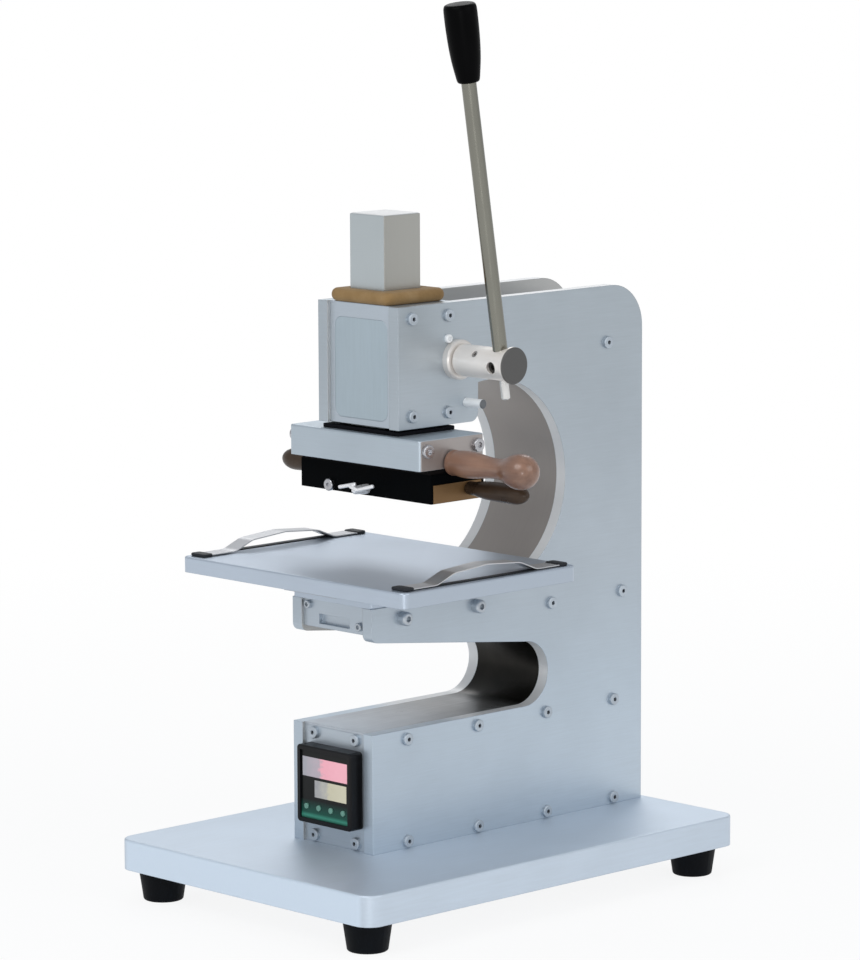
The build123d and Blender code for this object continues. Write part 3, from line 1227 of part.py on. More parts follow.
# Table
def support_block():
    """Block between the arms under the table, hollowed in front."""
    low = TABLE_ARM_Z - SUPPORT_BLOCK_HEIGHT
    body = block((-INNER, INNER), (ARM_PANEL_Y, SUPPORT_BLOCK_REAR_Y), (low, TABLE_ARM_Z))
    arm_bottom = TABLE_ARM_Z - TABLE_ARM_DEPTH
    relief = SUPPORT_RELIEF_DEPTH
    body -= block((-INNER / 2, INNER / 2), (ARM_PANEL_Y, ARM_PANEL_Y + relief),
                  (arm_bottom + relief * 2, arm_bottom + relief * 4))
    for sign in (-1, 1):
        for y, z in block_bolt_places():
            body -= side_tapping(sign, CAP_SCREW_RADIUS, CAP_SCREW_LENGTH, y, z)
    for x, z in block_screw_places():
        body -= bar_y(BUSH_SCREW_RADIUS + SEAT_CLEARANCE, x, ARM_PANEL_Y,
                      ARM_PANEL_Y + SCREW_LENGTH + 1, z)
    return body


def table_carrier():
    """Plate on the two arms that carries the table's slide."""
    half = CARRIER_WIDTH / 2
    plate = block((-half, half), (ARM_FRONT_Y, CARRIER_REAR_Y), (TABLE_ARM_Z, CARRIER_TOP_Z))
    return fillet(plate.edges().filter_by(Axis.Z), 2)


def slide_bar():
    """Dovetail bar under the table, wider below."""
    half = SLIDE_BAR_WIDTH / 2
    low = CARRIER_TOP_Z + BODY_GAP
    profile = Polygon((-half - SLIDE_BAR_FLARE, low), (half + SLIDE_BAR_FLARE, low),
                      (half, TABLE_BOTTOM_Z), (-half, TABLE_BOTTOM_Z), align=None)
    front = TABLE_FRONT_Y + SLIDE_BAR_INSET
    rear = TABLE_REAR_Y - SLIDE_BAR_INSET / 2
    return Pos(0, rear, BASE_TOP) * extrude(Plane.XZ * profile, amount=rear - front)


def table_gibs():
    """Two dovetail strips on the carrier, one each side of the slide bar."""
    low = CARRIER_TOP_Z
    high = TABLE_BOTTOM_Z - BODY_GAP
    half = SLIDE_BAR_WIDTH / 2 + BODY_GAP
    rise = (high - low) / SLIDE_HEIGHT
    wide = half + SLIDE_BAR_FLARE
    outer = wide + GIB_WIDTH
    gib = Polygon((wide, low), (outer, low), (outer, high), (wide - SLIDE_BAR_FLARE * rise, high),
                  align=None)
    front = ARM_FRONT_Y + GIB_INSET
    rear = CARRIER_REAR_Y - GIB_INSET / 2
    right = Pos(0, rear, BASE_TOP) * extrude(Plane.XZ * gib, amount=rear - front)
    return Compound([right, mirror(right, about=Plane.YZ)])


def work_table():
    """Flat table with round corners and broken edges."""
    outline = RectangleRounded(TABLE_WIDTH, TABLE_DEPTH, TABLE_CORNER_RADIUS)
    middle = (TABLE_FRONT_Y + TABLE_REAR_Y) / 2
    table = Pos(0, middle, up(TABLE_BOTTOM_Z)) * extrude(outline, amount=TABLE_THICKNESS)
    return fillet(table.edges().group_by(Axis.Z)[-1], TABLE_EDGE_BREAK)


def strip_x_range(sign):
    """Inner and outer edge of one sprung strip."""
    outer = TABLE_WIDTH / 2 - STRIP_EDGE_MARGIN
    return sorted((sign * outer, sign * (outer - STRIP_WIDTH)))


def strip_line(lift):
    """Bent line of a sprung strip in Y and height: flat feet, ramps and a low arch."""
    y0 = TABLE_FRONT_Y + STRIP_END_MARGIN
    y1 = TABLE_REAR_Y - STRIP_END_MARGIN
    low = TABLE_TOP_Z + STRIP_BOOT_WALL + lift
    foot = STRIP_FOOT_LENGTH
    ramp = foot + STRIP_RAMP_LENGTH
    points = [(y0, low), (y0 + foot, low), (y0 + ramp, low + STRIP_RAMP_RISE),
              ((y0 + y1) / 2, low + STRIP_RISE), (y1 - ramp, low + STRIP_RAMP_RISE),
              (y1 - foot, low), (y1, low)]
    return FilletPolyline(*points, radius=STRIP_BEND_RADIUS)


def sprung_strips():
    """Two arched spring steel strips along the sides of the table."""
    lower = strip_line(0)
    upper = strip_line(STRIP_THICKNESS)
    face = make_face(lower.edges() + upper.edges() + [Line(lower @ 0, upper @ 0),
                                                      Line(lower @ 1, upper @ 1)])
    return Compound([across(face, *strip_x_range(sign)) for sign in (-1, 1)])


def strip_pads():
    """Rubber boots on the ends of the strips."""
    boots = []
    wall = STRIP_BOOT_WALL
    fit = SEAT_CLEARANCE
    y0 = TABLE_FRONT_Y + STRIP_END_MARGIN
    y1 = TABLE_REAR_Y - STRIP_END_MARGIN
    low = TABLE_TOP_Z + wall
    high = low + STRIP_THICKNESS
    for sign in (-1, 1):
        inner, outer = strip_x_range(sign)
        for near, far in ((y0, y0 + STRIP_BOOT_LENGTH), (y1, y1 - STRIP_BOOT_LENGTH)):
            end = near - wall if near < far else near + wall
            slot = near - fit if near < far else near + fit
            boot = block((inner - wall, outer + wall), sorted((end, far)), (TABLE_TOP_Z, high + wall))
            boot = fillet(boot.edges().group_by(Axis.Z)[-1], wall / 2)
            boots.append(boot - block((inner - fit, outer + fit), sorted((slot, far)),
                                      (low - fit, high + fit)))
    return Compound(boots)


# Controller, relay and power inlet
def controller_front_y():
    """Y of the controller's front rim."""
    return ARM_PANEL_Y - CONTROLLER_BEZEL_DEPTH


def controller_case():
    """Controller case: square front rim and a body behind the panel."""
    half = CONTROLLER_SIZE / 2
    rim = block((-half, half), (controller_front_y(), ARM_PANEL_Y),
                (CONTROLLER_Z - half, CONTROLLER_Z + half))
    rim = fillet(rim.edges().filter_by(Axis.Y), CONTROLLER_CORNER_RADIUS)
    rim = fillet(rim.edges().group_by(Axis.Y)[0], 1)
    body = CONTROLLER_BODY_SIZE / 2
    case = rim + block((-body, body), (ARM_PANEL_Y, ARM_PANEL_Y + CONTROLLER_BODY_DEPTH),
                       (CONTROLLER_Z - body, CONTROLLER_Z + body))
    opening = half - FACE_MARGIN
    front = controller_front_y()
    deep = front + FACE_RECESS + BUTTON_HEIGHT + BUTTON_STROKE + 1
    case -= block((-opening, opening), (front, deep),
                  (CONTROLLER_Z - opening, CONTROLLER_Z + opening))
    return case


def button_places():
    """Centres of the four buttons, left to right."""
    z = CONTROLLER_Z - BUTTON_ROW_DROP
    return [((i - 1.5) * BUTTON_PITCH, z) for i in range(4)]


def controller_face():
    """Face plate in the rim, with holes for the buttons."""
    half = CONTROLLER_SIZE / 2 - FACE_MARGIN
    front = controller_front_y() + FACE_RECESS
    deep = front + BUTTON_HEIGHT + BUTTON_STROKE + 1
    face = block((-half, half), (front, deep), (CONTROLLER_Z - half, CONTROLLER_Z + half))
    for x, z in button_places():
        face -= bar_y(BUTTON_RADIUS + BODY_GAP / 2, x, front,
                      front + BUTTON_HEIGHT + BUTTON_STROKE + BODY_GAP / 2, z)
    for window in display_windows(DISPLAY_THICKNESS):
        face -= window
    return face


def display_windows(depth):
    """Upper and lower display windows, set flush in the face."""
    front = controller_front_y() + FACE_RECESS
    windows = []
    for x, z, width, height in ((0, PV_Z_OFFSET, PV_WIDTH, PV_HEIGHT),
                                (SV_X_OFFSET, SV_Z_OFFSET, SV_WIDTH, SV_HEIGHT)):
        windows.append(block((x - width / 2, x + width / 2), (front, front + depth),
                             (CONTROLLER_Z + z - height / 2, CONTROLLER_Z + z + height / 2)))
    return windows


def controller_displays():
    """The two display windows."""
    return Compound(display_windows(DISPLAY_THICKNESS))


def controller_button(x, z):
    """One round button, its head proud of the face."""
    front = controller_front_y() + FACE_RECESS
    button = bar_y(BUTTON_RADIUS, x, front - BUTTON_STROKE - BODY_GAP / 2, front + BUTTON_HEIGHT, z)
    return fillet(button.edges().group_by(Axis.Y)[0], 0.3)


def heater_relay():
    """Relay block on the inner side of the left plate."""
    x0 = -INNER
    relay = block((x0, x0 + RELAY_HEIGHT), (RELAY_Y - RELAY_LENGTH / 2, RELAY_Y + RELAY_LENGTH / 2),
                  (RELAY_Z - RELAY_WIDTH / 2, RELAY_Z + RELAY_WIDTH / 2))
    notch = RELAY_LENGTH / 5
    for sign in (-1, 1):
        y = RELAY_Y + sign * (RELAY_LENGTH / 2 - notch / 2)
        relay -= block((x0 + RELAY_HEIGHT / 2, x0 + RELAY_HEIGHT), (y - notch / 2, y + notch / 2),
                       (RELAY_Z - RELAY_WIDTH / 2, RELAY_Z + RELAY_WIDTH / 2))
    return relay


def power_inlet():
    """Power inlet in the rear cover: flange, cup and three pins."""
    face = COVER_OUTER_Y
    body = block((-INLET_FLANGE_WIDTH / 2, INLET_FLANGE_WIDTH / 2), (face, face + INLET_FLANGE_THICKNESS),
                 (INLET_Z - INLET_FLANGE_HEIGHT / 2, INLET_Z + INLET_FLANGE_HEIGHT / 2))
    body = fillet(body.edges().filter_by(Axis.Y), 3)
    body += block((-INLET_WIDTH / 2, INLET_WIDTH / 2), (face - INLET_DEPTH, face),
                  (INLET_Z - INLET_HEIGHT / 2, INLET_Z + INLET_HEIGHT / 2))
    out = face + INLET_FLANGE_THICKNESS
    x = INLET_WIDTH / 2 - INLET_WALL
    z = INLET_HEIGHT / 2 - INLET_WALL
    body -= block((-x, x), (out - INLET_CAVITY_DEPTH, out), (INLET_Z - z, INLET_Z + z))
    floor = out - INLET_CAVITY_DEPTH
    for px, pz in ((-7, -2), (7, -2), (0, 3)):
        body += block((px - 1, px + 1), (floor, floor + PIN_LENGTH), (INLET_Z + pz - 2, INLET_Z + pz + 2))
    return body


def switch_frame():
    """Frame of the power switch in the rear cover."""
    face = COVER_OUTER_Y
    lip = SWITCH_FRAME_LIP
    body = block((-SWITCH_WIDTH / 2 - lip, SWITCH_WIDTH / 2 + lip), (face, face + lip),
                 (SWITCH_Z - SWITCH_HEIGHT / 2 - lip, SWITCH_Z + SWITCH_HEIGHT / 2 + lip))
    body = fillet(body.edges().filter_by(Axis.Y), 1)
    body += block((-SWITCH_WIDTH / 2, SWITCH_WIDTH / 2), (face - SWITCH_BODY_DEPTH, face),
                  (SWITCH_Z - SWITCH_HEIGHT / 2, SWITCH_Z + SWITCH_HEIGHT / 2))
    x = SWITCH_WIDTH / 2 - lip
    z = SWITCH_HEIGHT / 2 - lip
    body -= block((-x, x), (face - SWITCH_BODY_DEPTH / 2, face + lip), (SWITCH_Z - z, SWITCH_Z + z))
    hole = x + ROCKER_PIN_REACH + BODY_GAP
    return body - bar_x(ROCKER_PIN_RADIUS + RUNNING_CLEARANCE, -hole, hole, COVER_OUTER_Y, SWITCH_Z)


def switch_rocker():
    """Rocker of the power switch, tilted to the off side, on its cross pin."""
    half_width = SWITCH_WIDTH / 2 - SWITCH_FRAME_LIP - BODY_GAP
    high = SWITCH_HEIGHT / 2 - SWITCH_FRAME_LIP - BODY_GAP * 2
    depth = ROCKER_DEPTH
    profile = Polygon((-depth, -high * 0.7), (depth, -high), (depth * 0.7, 0), (depth, high),
                      (-depth, high * 0.7), align=None)
    rocker = extrude(Plane.YZ * profile, amount=half_width, both=True)
    pin = half_width + BODY_GAP + ROCKER_PIN_REACH
    rocker += Rot(0, 90, 0) * Cylinder(ROCKER_PIN_RADIUS, pin * 2)
    return Pos(0, COVER_OUTER_Y, up(SWITCH_Z)) * Rot(SWITCH_TILT, 0, 0) * rocker


def parts():
    """Every piece by its name."""
    named = {
        "base_plate": base_plate(), "rubber_feet": rubber_feet(), "foot_screws": foot_screws(),
        "side_plate_left": side_plate(-1), "side_plate_right": side_plate(1),
        "base_rails": base_rails(), "frame_spacers": frame_spacers(),
        "frame_screws": frame_screws(), "table_bolts": table_bolts(),
        "arm_panel": arm_panel(), "cross_bars": cross_bars(),
        "lower_cover": lower_cover(), "throat_liner": throat_liner(),
        "top_cover": top_cover(), "rear_cover": rear_cover(),
        "guide_block": guide_block(), "head_panel": head_panel(), "wiper_pad": wiper_pad(),
        "bearing_bushes": bearing_bushes(),
        "return_spring": return_spring(),
        "press_ram": press_ram(), "press_rack": press_rack(),
        "drive_pinion": drive_pinion(), "pinion_shaft": pinion_shaft(),
        "pinion_key": key_bar(PINION_WIDTH / 2, 0), "retaining_ring": retaining_ring(),
        "lever_hub": lever_hub(), "hub_set_screws": hub_set_screws(),
        "lever_rod": lever_rod(), "lever_grip": lever_grip(),
        "pressure_plate": pressure_plate(), "plate_screws": plate_screws(),
        "insulating_plate": insulating_plate(), "heater_block": heater_block(),
        "heater_cartridges": heater_cartridges(), "heat_probe": heat_probe(),
        "press_handle": press_handle(), "handle_stud": handle_stud(),
        "die_plate": die_plate(), "die_knob": die_knob(),
        "clamp_knob": clamp_knob(), "wing_screw": wing_screw(),
        "support_block": support_block(), "table_carrier": table_carrier(),
        "table_gibs": table_gibs(), "slide_bar": slide_bar(), "work_table": work_table(),
        "sprung_strips": sprung_strips(), "strip_pads": strip_pads(),
        "controller_case": controller_case(), "controller_face": controller_face(),
        "controller_displays": controller_displays(), "heater_relay": heater_relay(),
        "power_inlet": power_inlet(), "switch_frame": switch_frame(),
        "switch_rocker": switch_rocker(),
    }
    for number, (x, z) in enumerate(button_places(), start=1):
        named[f"controller_button_{number}"] = controller_button(x, z)
    return named


os.makedirs("parts", exist_ok=True)
for name, shape in parts().items():
    export_step(Pos(-CENTRE_X, 0, 0) * shape, f"parts/{name}.step")
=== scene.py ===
import math

import bmesh
import bpy
from mathutils import Matrix, Vector


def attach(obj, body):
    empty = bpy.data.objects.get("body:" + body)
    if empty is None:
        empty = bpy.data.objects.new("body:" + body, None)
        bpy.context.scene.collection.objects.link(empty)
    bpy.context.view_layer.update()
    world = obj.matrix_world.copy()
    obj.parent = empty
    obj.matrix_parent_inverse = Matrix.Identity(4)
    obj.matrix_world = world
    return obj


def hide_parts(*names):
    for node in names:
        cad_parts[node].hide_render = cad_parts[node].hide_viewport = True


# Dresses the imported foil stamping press: a camera at the photo's angle, a procedural
# material for every piece, and turned or moulded pieces in place of some solids.
# Metres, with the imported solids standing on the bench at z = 0. Places on the machine
# are written in the drawing's millimetres: X from the frame's middle plane, Y as in
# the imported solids, Z from the top of the base plate.

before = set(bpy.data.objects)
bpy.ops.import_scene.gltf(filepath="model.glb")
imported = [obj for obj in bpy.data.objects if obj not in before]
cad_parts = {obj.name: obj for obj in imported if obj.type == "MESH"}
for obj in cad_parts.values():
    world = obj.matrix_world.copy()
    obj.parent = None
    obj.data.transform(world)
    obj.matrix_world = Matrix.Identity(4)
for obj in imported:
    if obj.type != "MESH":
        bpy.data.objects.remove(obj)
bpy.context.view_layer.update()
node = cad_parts

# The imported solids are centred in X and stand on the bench, so the drawing's middle
# plane lies CENTRE_X to the left and the top of the base plate at BASE_TOP
MM = 0.001
CENTRE_X = 7.1 * MM
BASE_TOP = 38.0 * MM
SHIFT = {"X": -CENTRE_X, "Y": 0.0, "Z": BASE_TOP}

# The ram's middle, half the square hole of a ring round it, the right end of the
# pressure plate, and the table's top, in the drawing's millimetres
RAM_Y = -36.0
HOLE_HALF = 15.3
PLATE_RIGHT = 57.25
TABLE_TOP = 171.8


def drawn(axis, value):
    """Place in metres of a value on the drawing."""
    return value * MM + SHIFT[axis]


def at(x, y, z):
    """Point in metres of a point on the drawing."""
    return Vector((drawn("X", x), drawn("Y", y), drawn("Z", z)))


# Camera: fitted to the corners of the base, frame and controller in the photo
AZIMUTH = math.radians(46.0)
ELEVATION = math.radians(8.75)
ROLL = math.radians(-0.24)
DISTANCE = 2.8504
AIM_HEIGHT = 0.23107
SENSOR = 36.0
LONG_SIDE = 960.0
FOCAL_PIXELS = 4641.2
SHIFT_PIXELS = (0.84, 38.25)


def add_camera():
    """Camera at the photo's viewing angle, turned by its slight roll."""
    look = Vector((-math.sin(AZIMUTH) * math.cos(ELEVATION),
                   math.cos(AZIMUTH) * math.cos(ELEVATION), -math.sin(ELEVATION)))
    right = Vector((math.cos(AZIMUTH), math.sin(AZIMUTH), 0))
    rise = right.cross(look)
    side = math.cos(ROLL) * right + math.sin(ROLL) * rise
    top = -math.sin(ROLL) * right + math.cos(ROLL) * rise
    data = bpy.data.cameras.new("camera")
    data.lens = FOCAL_PIXELS * SENSOR / LONG_SIDE
    data.sensor_width = SENSOR
    data.shift_x, data.shift_y = (pixels / LONG_SIDE for pixels in SHIFT_PIXELS)
    data.clip_end = 50.0
    camera = bpy.data.objects.new("camera", data)
    target = Vector((-CENTRE_X, 0, AIM_HEIGHT))
    facing = Matrix((side, top, -look)).transposed().to_4x4()
    camera.matrix_world = Matrix.Translation(target - look * DISTANCE) @ facing
    bpy.context.scene.collection.objects.link(camera)
    bpy.context.scene.camera = camera


# Materials
def join(tree, socket, value):
    """Link a socket to another node's output, or give it a value."""
    if isinstance(value, bpy.types.NodeSocket):
        tree.links.new(value, socket)
    else:
        socket.default_value = value


def add_node(tree, kind, inputs=None, **settings):
    """Add a node with its settings, and join its inputs, given by name or number."""
    made = tree.nodes.new(kind)
    for name, value in settings.items():
        setattr(made, name, value)
    for name, value in (inputs or {}).items():
        join(tree, made.inputs[name], value)
    return made


def empty_tree(owner):
    """The node tree of a material or world, with nothing in it."""
    owner.use_nodes = True
    owner.node_tree.nodes.clear()
    return owner.node_tree


class Finish:
    """A node material with its Principled shader and short ways to add nodes."""

    def __init__(self, name, colour, roughness, metallic=0.0, **sockets):
        self.material = bpy.data.materials.new(name)
        self.material.use_nodes = True
        self.tree = self.material.node_tree
        self.shader = self.tree.nodes["Principled BSDF"]
        self.set("Base Color", (*colour, 1.0))
        self.set("Roughness", roughness)
        self.set("Metallic", metallic)
        for socket, value in sockets.items():
            self.set(socket.replace("_", " "), value)
        self.place = self.add("ShaderNodeTexCoord").outputs["Object"]

    def set(self, socket, value):
        """Give an input of the shader a value, or link it."""
        join(self.tree, self.shader.inputs[socket], value)
        return self

    def add(self, kind, inputs=None, **settings):
        return add_node(self.tree, kind, inputs, **settings)

    def scaled(self, scale):
        """Object coordinates stretched, so that a pattern can run one way."""
        return self.add("ShaderNodeMapping", {"Vector": self.place, "Scale": scale}).outputs[0]

    def noise(self, scale, detail=3.0, rough=0.5, vector=None):
        """Noise over the object, or over stretched coordinates."""
        made = self.add("ShaderNodeTexNoise", {"Scale": scale, "Detail": detail,
                                               "Roughness": rough,
                                               "Vector": vector or self.place})
        return made.outputs["Fac"]

    def ramp(self, factor, *stops):
        """Colour ramp from (position, colour) stops."""
        made = self.add("ShaderNodeValToRGB", {"Fac": factor})
        elements = made.color_ramp.elements
        while len(elements) < len(stops):
            elements.new(0.5)
        for element, (position, colour) in zip(elements, stops):
            element.position = position
            element.color = (*colour, 1.0)
        return made.outputs["Color"]

    def span(self, factor, low, high, start=0.0, end=1.0):
        """Factor between start and end mapped to low and high."""
        made = self.add("ShaderNodeMapRange", {"Value": factor, "From Min": start,
                                               "From Max": end, "To Min": low,
                                               "To Max": high})
        return made.outputs["Result"]

    def mix(self, factor, first, second, blend="MIX"):
        """The first colour where the factor is 0, blended with the second towards 1."""
        colours = [(*value, 1.0) if isinstance(value, tuple) else value
                   for value in (first, second)]
        made = self.tree.nodes.new("ShaderNodeMix")
        made.data_type = "RGBA"
        made.blend_type = blend
        for number, value in zip((0, 6, 7), (factor, *colours)):
            join(self.tree, made.inputs[number], value)
        return made.outputs[2]

    def count(self, operation, first, second=None):
        """Result of a Math node."""
        values = {0: first} if second is None else {0: first, 1: second}
        return self.add("ShaderNodeMath", values, operation=operation).outputs[0]

    def along(self, axis):
        """The place along one axis of the object, in metres."""
        return self.add("ShaderNodeSeparateXYZ", {"Vector": self.place}).outputs[axis]

    def from_middle(self):
        """The distance from the frame's middle plane, in metres."""
        return self.count("ABSOLUTE", self.count("ADD", self.along("X"), CENTRE_X))

    def past(self, axis, start, end):
        """0 before start and 1 after end, both on the drawing."""
        return self.span(self.along(axis), 0.0, 1.0, drawn(axis, start), drawn(axis, end))

    def between(self, distance, low, high, soft):
        """1 between low and high, with soft borders inside them, all in millimetres."""
        inner = self.span(distance, 0.0, 1.0, low * MM, (low + soft) * MM)
        outer = self.span(distance, 1.0, 0.0, (high - soft) * MM, high * MM)
        return self.count("MULTIPLY", inner, outer)

    def coloured(self):
        """The output that gives the colour so far."""
        return self.shader.inputs["Base Color"].links[0].from_socket

    def patch(self, factor, colour, metallic=None):
        """Another colour over a part of the piece, where the factor is 1."""
        self.set("Base Color", self.mix(factor, self.coloured(), colour))
        if metallic is not None:
            plain = self.shader.inputs["Metallic"].default_value
            self.set("Metallic", self.span(factor, plain, metallic))
        return self

    def bump(self, height, distance, strength=1.0, edge=0.0):
        """Bump from a height, over a softened edge where edge is a radius."""
        made = self.add("ShaderNodeBump", {"Height": height, "Distance": distance,
                                           "Strength": strength})
        if edge:
            soft = self.add("ShaderNodeBevel", {"Radius": edge}, samples=6)
            self.tree.links.new(soft.outputs["Normal"], made.inputs["Normal"])
        return self.set("Normal", made.outputs["Normal"])


def tint(colour, factor):
    """Colour made lighter or darker."""
    return tuple(min(1.0, c * factor) for c in colour)


def satin_metal(name, colour, roughness, metallic, grain, edge=0.0007, depth=0.00003,
                cloud=0.06, streaks=0.93):
    """Anodised or brushed metal: fine streaks one way, soft clouds and edges rounded in the
    shading.
    """
    finish = Finish(name, colour, roughness, metallic)
    streak = finish.noise(1.0, 5.0, 0.65, finish.scaled(grain))
    clouds = finish.noise(9.0, 4.0, 0.55)
    shade = finish.ramp(clouds, (0.3, tint(colour, 1 - cloud)), (0.7, tint(colour, 1 + cloud)))
    lines = finish.ramp(streak, (0.3, (streaks, streaks, streaks)), (0.7, (1.0, 1.0, 1.0)))
    finish.set("Base Color", finish.mix(1.0, shade, lines, "MULTIPLY"))
    finish.set("Roughness", finish.span(streak, roughness - 0.05, roughness + 0.07, 0.3, 0.7))
    return finish.bump(streak, depth, 0.5, edge)


def turned_metal(name, colour, roughness, metallic=1.0):
    """Metal turned on a lathe about X: fine rings round the axis."""
    finish = Finish(name, colour, roughness, metallic)
    ring = finish.noise(1.0, 4.0, 0.6, finish.scaled((900.0, 8, 8)))
    clouds = finish.noise(30.0, 3.0)
    shade = finish.ramp(clouds, (0.3, tint(colour, 0.88)), (0.75, tint(colour, 1.06)))
    finish.set("Base Color", shade)
    finish.set("Roughness", finish.span(ring, roughness - 0.06, roughness + 0.08, 0.3, 0.7))
    return finish.bump(ring, 0.00003, 0.5, 0.0004)


def moulded(name, colour, roughness, grain=1400.0, depth=0.00004, variation=0.12, **sockets):
    """Moulded plastic or rubber with a fine texture."""
    finish = Finish(name, colour, roughness, 0.0, **sockets)
    fine = finish.noise(grain, 3.0, 0.6)
    clouds = finish.noise(60.0, 3.0)
    shade = finish.ramp(clouds, (0.3, tint(colour, 1 - variation)),
                        (0.7, tint(colour, 1 + variation)))
    finish.set("Base Color", shade)
    finish.set("Roughness", finish.span(clouds, roughness - 0.05, roughness + 0.08, 0.3, 0.7))
    return finish.bump(fine, depth, 0.6, 0.0003)


def worn_steel(name, colour, roughness, metallic=1.0, stained=0.75):
    """Steel with small scratches and darker stains."""
    finish = Finish(name, colour, roughness, metallic)
    fine = finish.noise(600.0, 4.0, 0.7)
    stain = finish.noise(90.0, 4.0, 0.6)
    shade = finish.ramp(stain, (0.35, tint(colour, stained)), (0.65, tint(colour, 1.05)))
    finish.set("Base Color", shade)
    finish.set("Roughness", finish.span(fine, roughness - 0.06, roughness + 0.12, 0.3, 0.7))
    return finish.bump(fine, 0.00002, 0.5, 0.0003)


def varnished_wood(name, light, dark):
    """Turned wood under varnish: long grain along X, pores and darker bands."""
    finish = Finish(name, light, 0.32, 0.0, Coat_Weight=0.5, Coat_Roughness=0.18)
    grain = finish.noise(1.0, 6.0, 0.62, finish.scaled((14, 180, 180)))
    pores = finish.noise(1.0, 3.0, 0.8, finish.scaled((120, 1900, 1900)))
    band = finish.noise(40.0, 3.0)
    wood = finish.ramp(grain, (0.32, dark), (0.5, tint(light, 0.85)), (0.68, light))
    shade = finish.ramp(band, (0.35, (0.72, 0.70, 0.70)), (0.65, (1.0, 1.0, 1.0)))
    finish.set("Base Color", finish.mix(1.0, wood, shade, "MULTIPLY"))
    finish.set("Roughness", finish.span(pores, 0.28, 0.5, 0.3, 0.7))
    return finish.bump(pores, 0.00006, 0.5)


# Scales of the brushed lines along X, Y and Z: they follow each other along the largest
LEVEL_LINES = (45, 45, 1100)
UPRIGHT_LINES = (900, 45, 45)
SILVER = (0.515, 0.575, 0.635)

anodised = satin_metal("anodised_silver", SILVER, 0.36, 0.75, LEVEL_LINES)
head_metal = satin_metal("head_silver", (0.455, 0.54, 0.595), 0.36, 0.75, UPRIGHT_LINES)
liner_metal = satin_metal("throat_lining", (0.395, 0.36, 0.335), 0.45, 0.5, (800, 20, 20),
                          edge=0.0)
sheet_metal = satin_metal("cover_sheet", (0.50, 0.53, 0.56), 0.42, 0.75, (900, 30, 200),
                          edge=0.0004)
shaft_steel = turned_metal("shaft_steel", (0.50, 0.485, 0.46), 0.3)
bush_metal = turned_metal("bush_metal", (0.80, 0.765, 0.73), 0.34, 0.45)
gear_steel = worn_steel("gear_steel", (0.42, 0.42, 0.43), 0.38)
bright_steel = worn_steel("bright_steel", (0.93, 0.93, 0.94), 0.3, 0.6, 0.93)
plain_steel = worn_steel("plain_steel", (0.50, 0.50, 0.52), 0.25, 1.0, 0.93)
strip_steel = satin_metal("strip_steel", (0.58, 0.585, 0.60), 0.34, 0.85, (30, 900, 30),
                          edge=0.0, depth=0.00001, cloud=0.04, streaks=0.97)
brass = satin_metal("die_brass", (0.215, 0.12, 0.047), 0.42, 0.5, (500, 40, 40),
                    edge=0.0005, cloud=0.1)
heater_black = moulded("heater_black", (0.0012, 0.0016, 0.002), 0.5, grain=700.0,
                       depth=0.00006, variation=0.3, Specular_IOR_Level=0.02)
board = moulded("insulating_board", (0.006, 0.005, 0.005), 0.7, grain=500.0,
                depth=0.00008, variation=0.3, Specular_IOR_Level=0.05)
handle_wood = varnished_wood("handle_wood", (0.31, 0.165, 0.105), (0.20, 0.098, 0.06))
knob_brown = moulded("knob_brown", (0.056, 0.035, 0.022), 0.3, grain=300.0, depth=0.00003,
                     variation=0.3, Coat_Weight=0.05, Coat_Roughness=0.2,
                     Specular_IOR_Level=0.2)
grip_black = moulded("grip_black", (0.0012, 0.0012, 0.0014), 0.38, grain=900.0,
                     variation=0.2, Specular_IOR_Level=0.04)
foot_rubber = moulded("foot_rubber", (0.002, 0.003, 0.0048), 0.55, grain=800.0,
                      depth=0.00006, variation=0.3, Specular_IOR_Level=0.1)
# also used for the painted shadows under the sprung strips
boot_rubber_and_strip_shadow = moulded("boot_rubber_and_strip_shadow", (0.020, 0.022, 0.026), 0.5, grain=800.0,
                      variation=0.25, Specular_IOR_Level=0.2)
# very dark material of the painted shade in the gap under the head
gap_shade_dark = moulded("gap_shade_dark", (0.004, 0.004, 0.006), 0.6, grain=600.0,
                        depth=0.00005, variation=0.25, Specular_IOR_Level=0.06)
case_black = moulded("case_black", (0.005, 0.005, 0.006), 0.34, grain=1200.0,
                     depth=0.00003, variation=0.15, Specular_IOR_Level=0.2)
button_green = moulded("button_green", (0.13, 0.30, 0.235), 0.4)
relay_plastic = moulded("relay_plastic", (0.62, 0.60, 0.54), 0.5)


def pad_finish():
    """Tan felt pad: mottled fibres, soft and dull."""
    finish = Finish("tan_pad", (0.27, 0.17, 0.075), 0.85, 0.0, Sheen_Weight=0.1,
                    Specular_IOR_Level=0.2)
    fibre = finish.noise(900.0, 6.0, 0.8)
    blotch = finish.noise(70.0, 4.0, 0.6)
    shade = finish.ramp(blotch, (0.3, (0.23, 0.14, 0.056)), (0.5, (0.28, 0.175, 0.073)),
                        (0.72, (0.33, 0.215, 0.10)))
    finish.set("Base Color", shade)
    return finish.bump(fibre, 0.0002, 0.5)


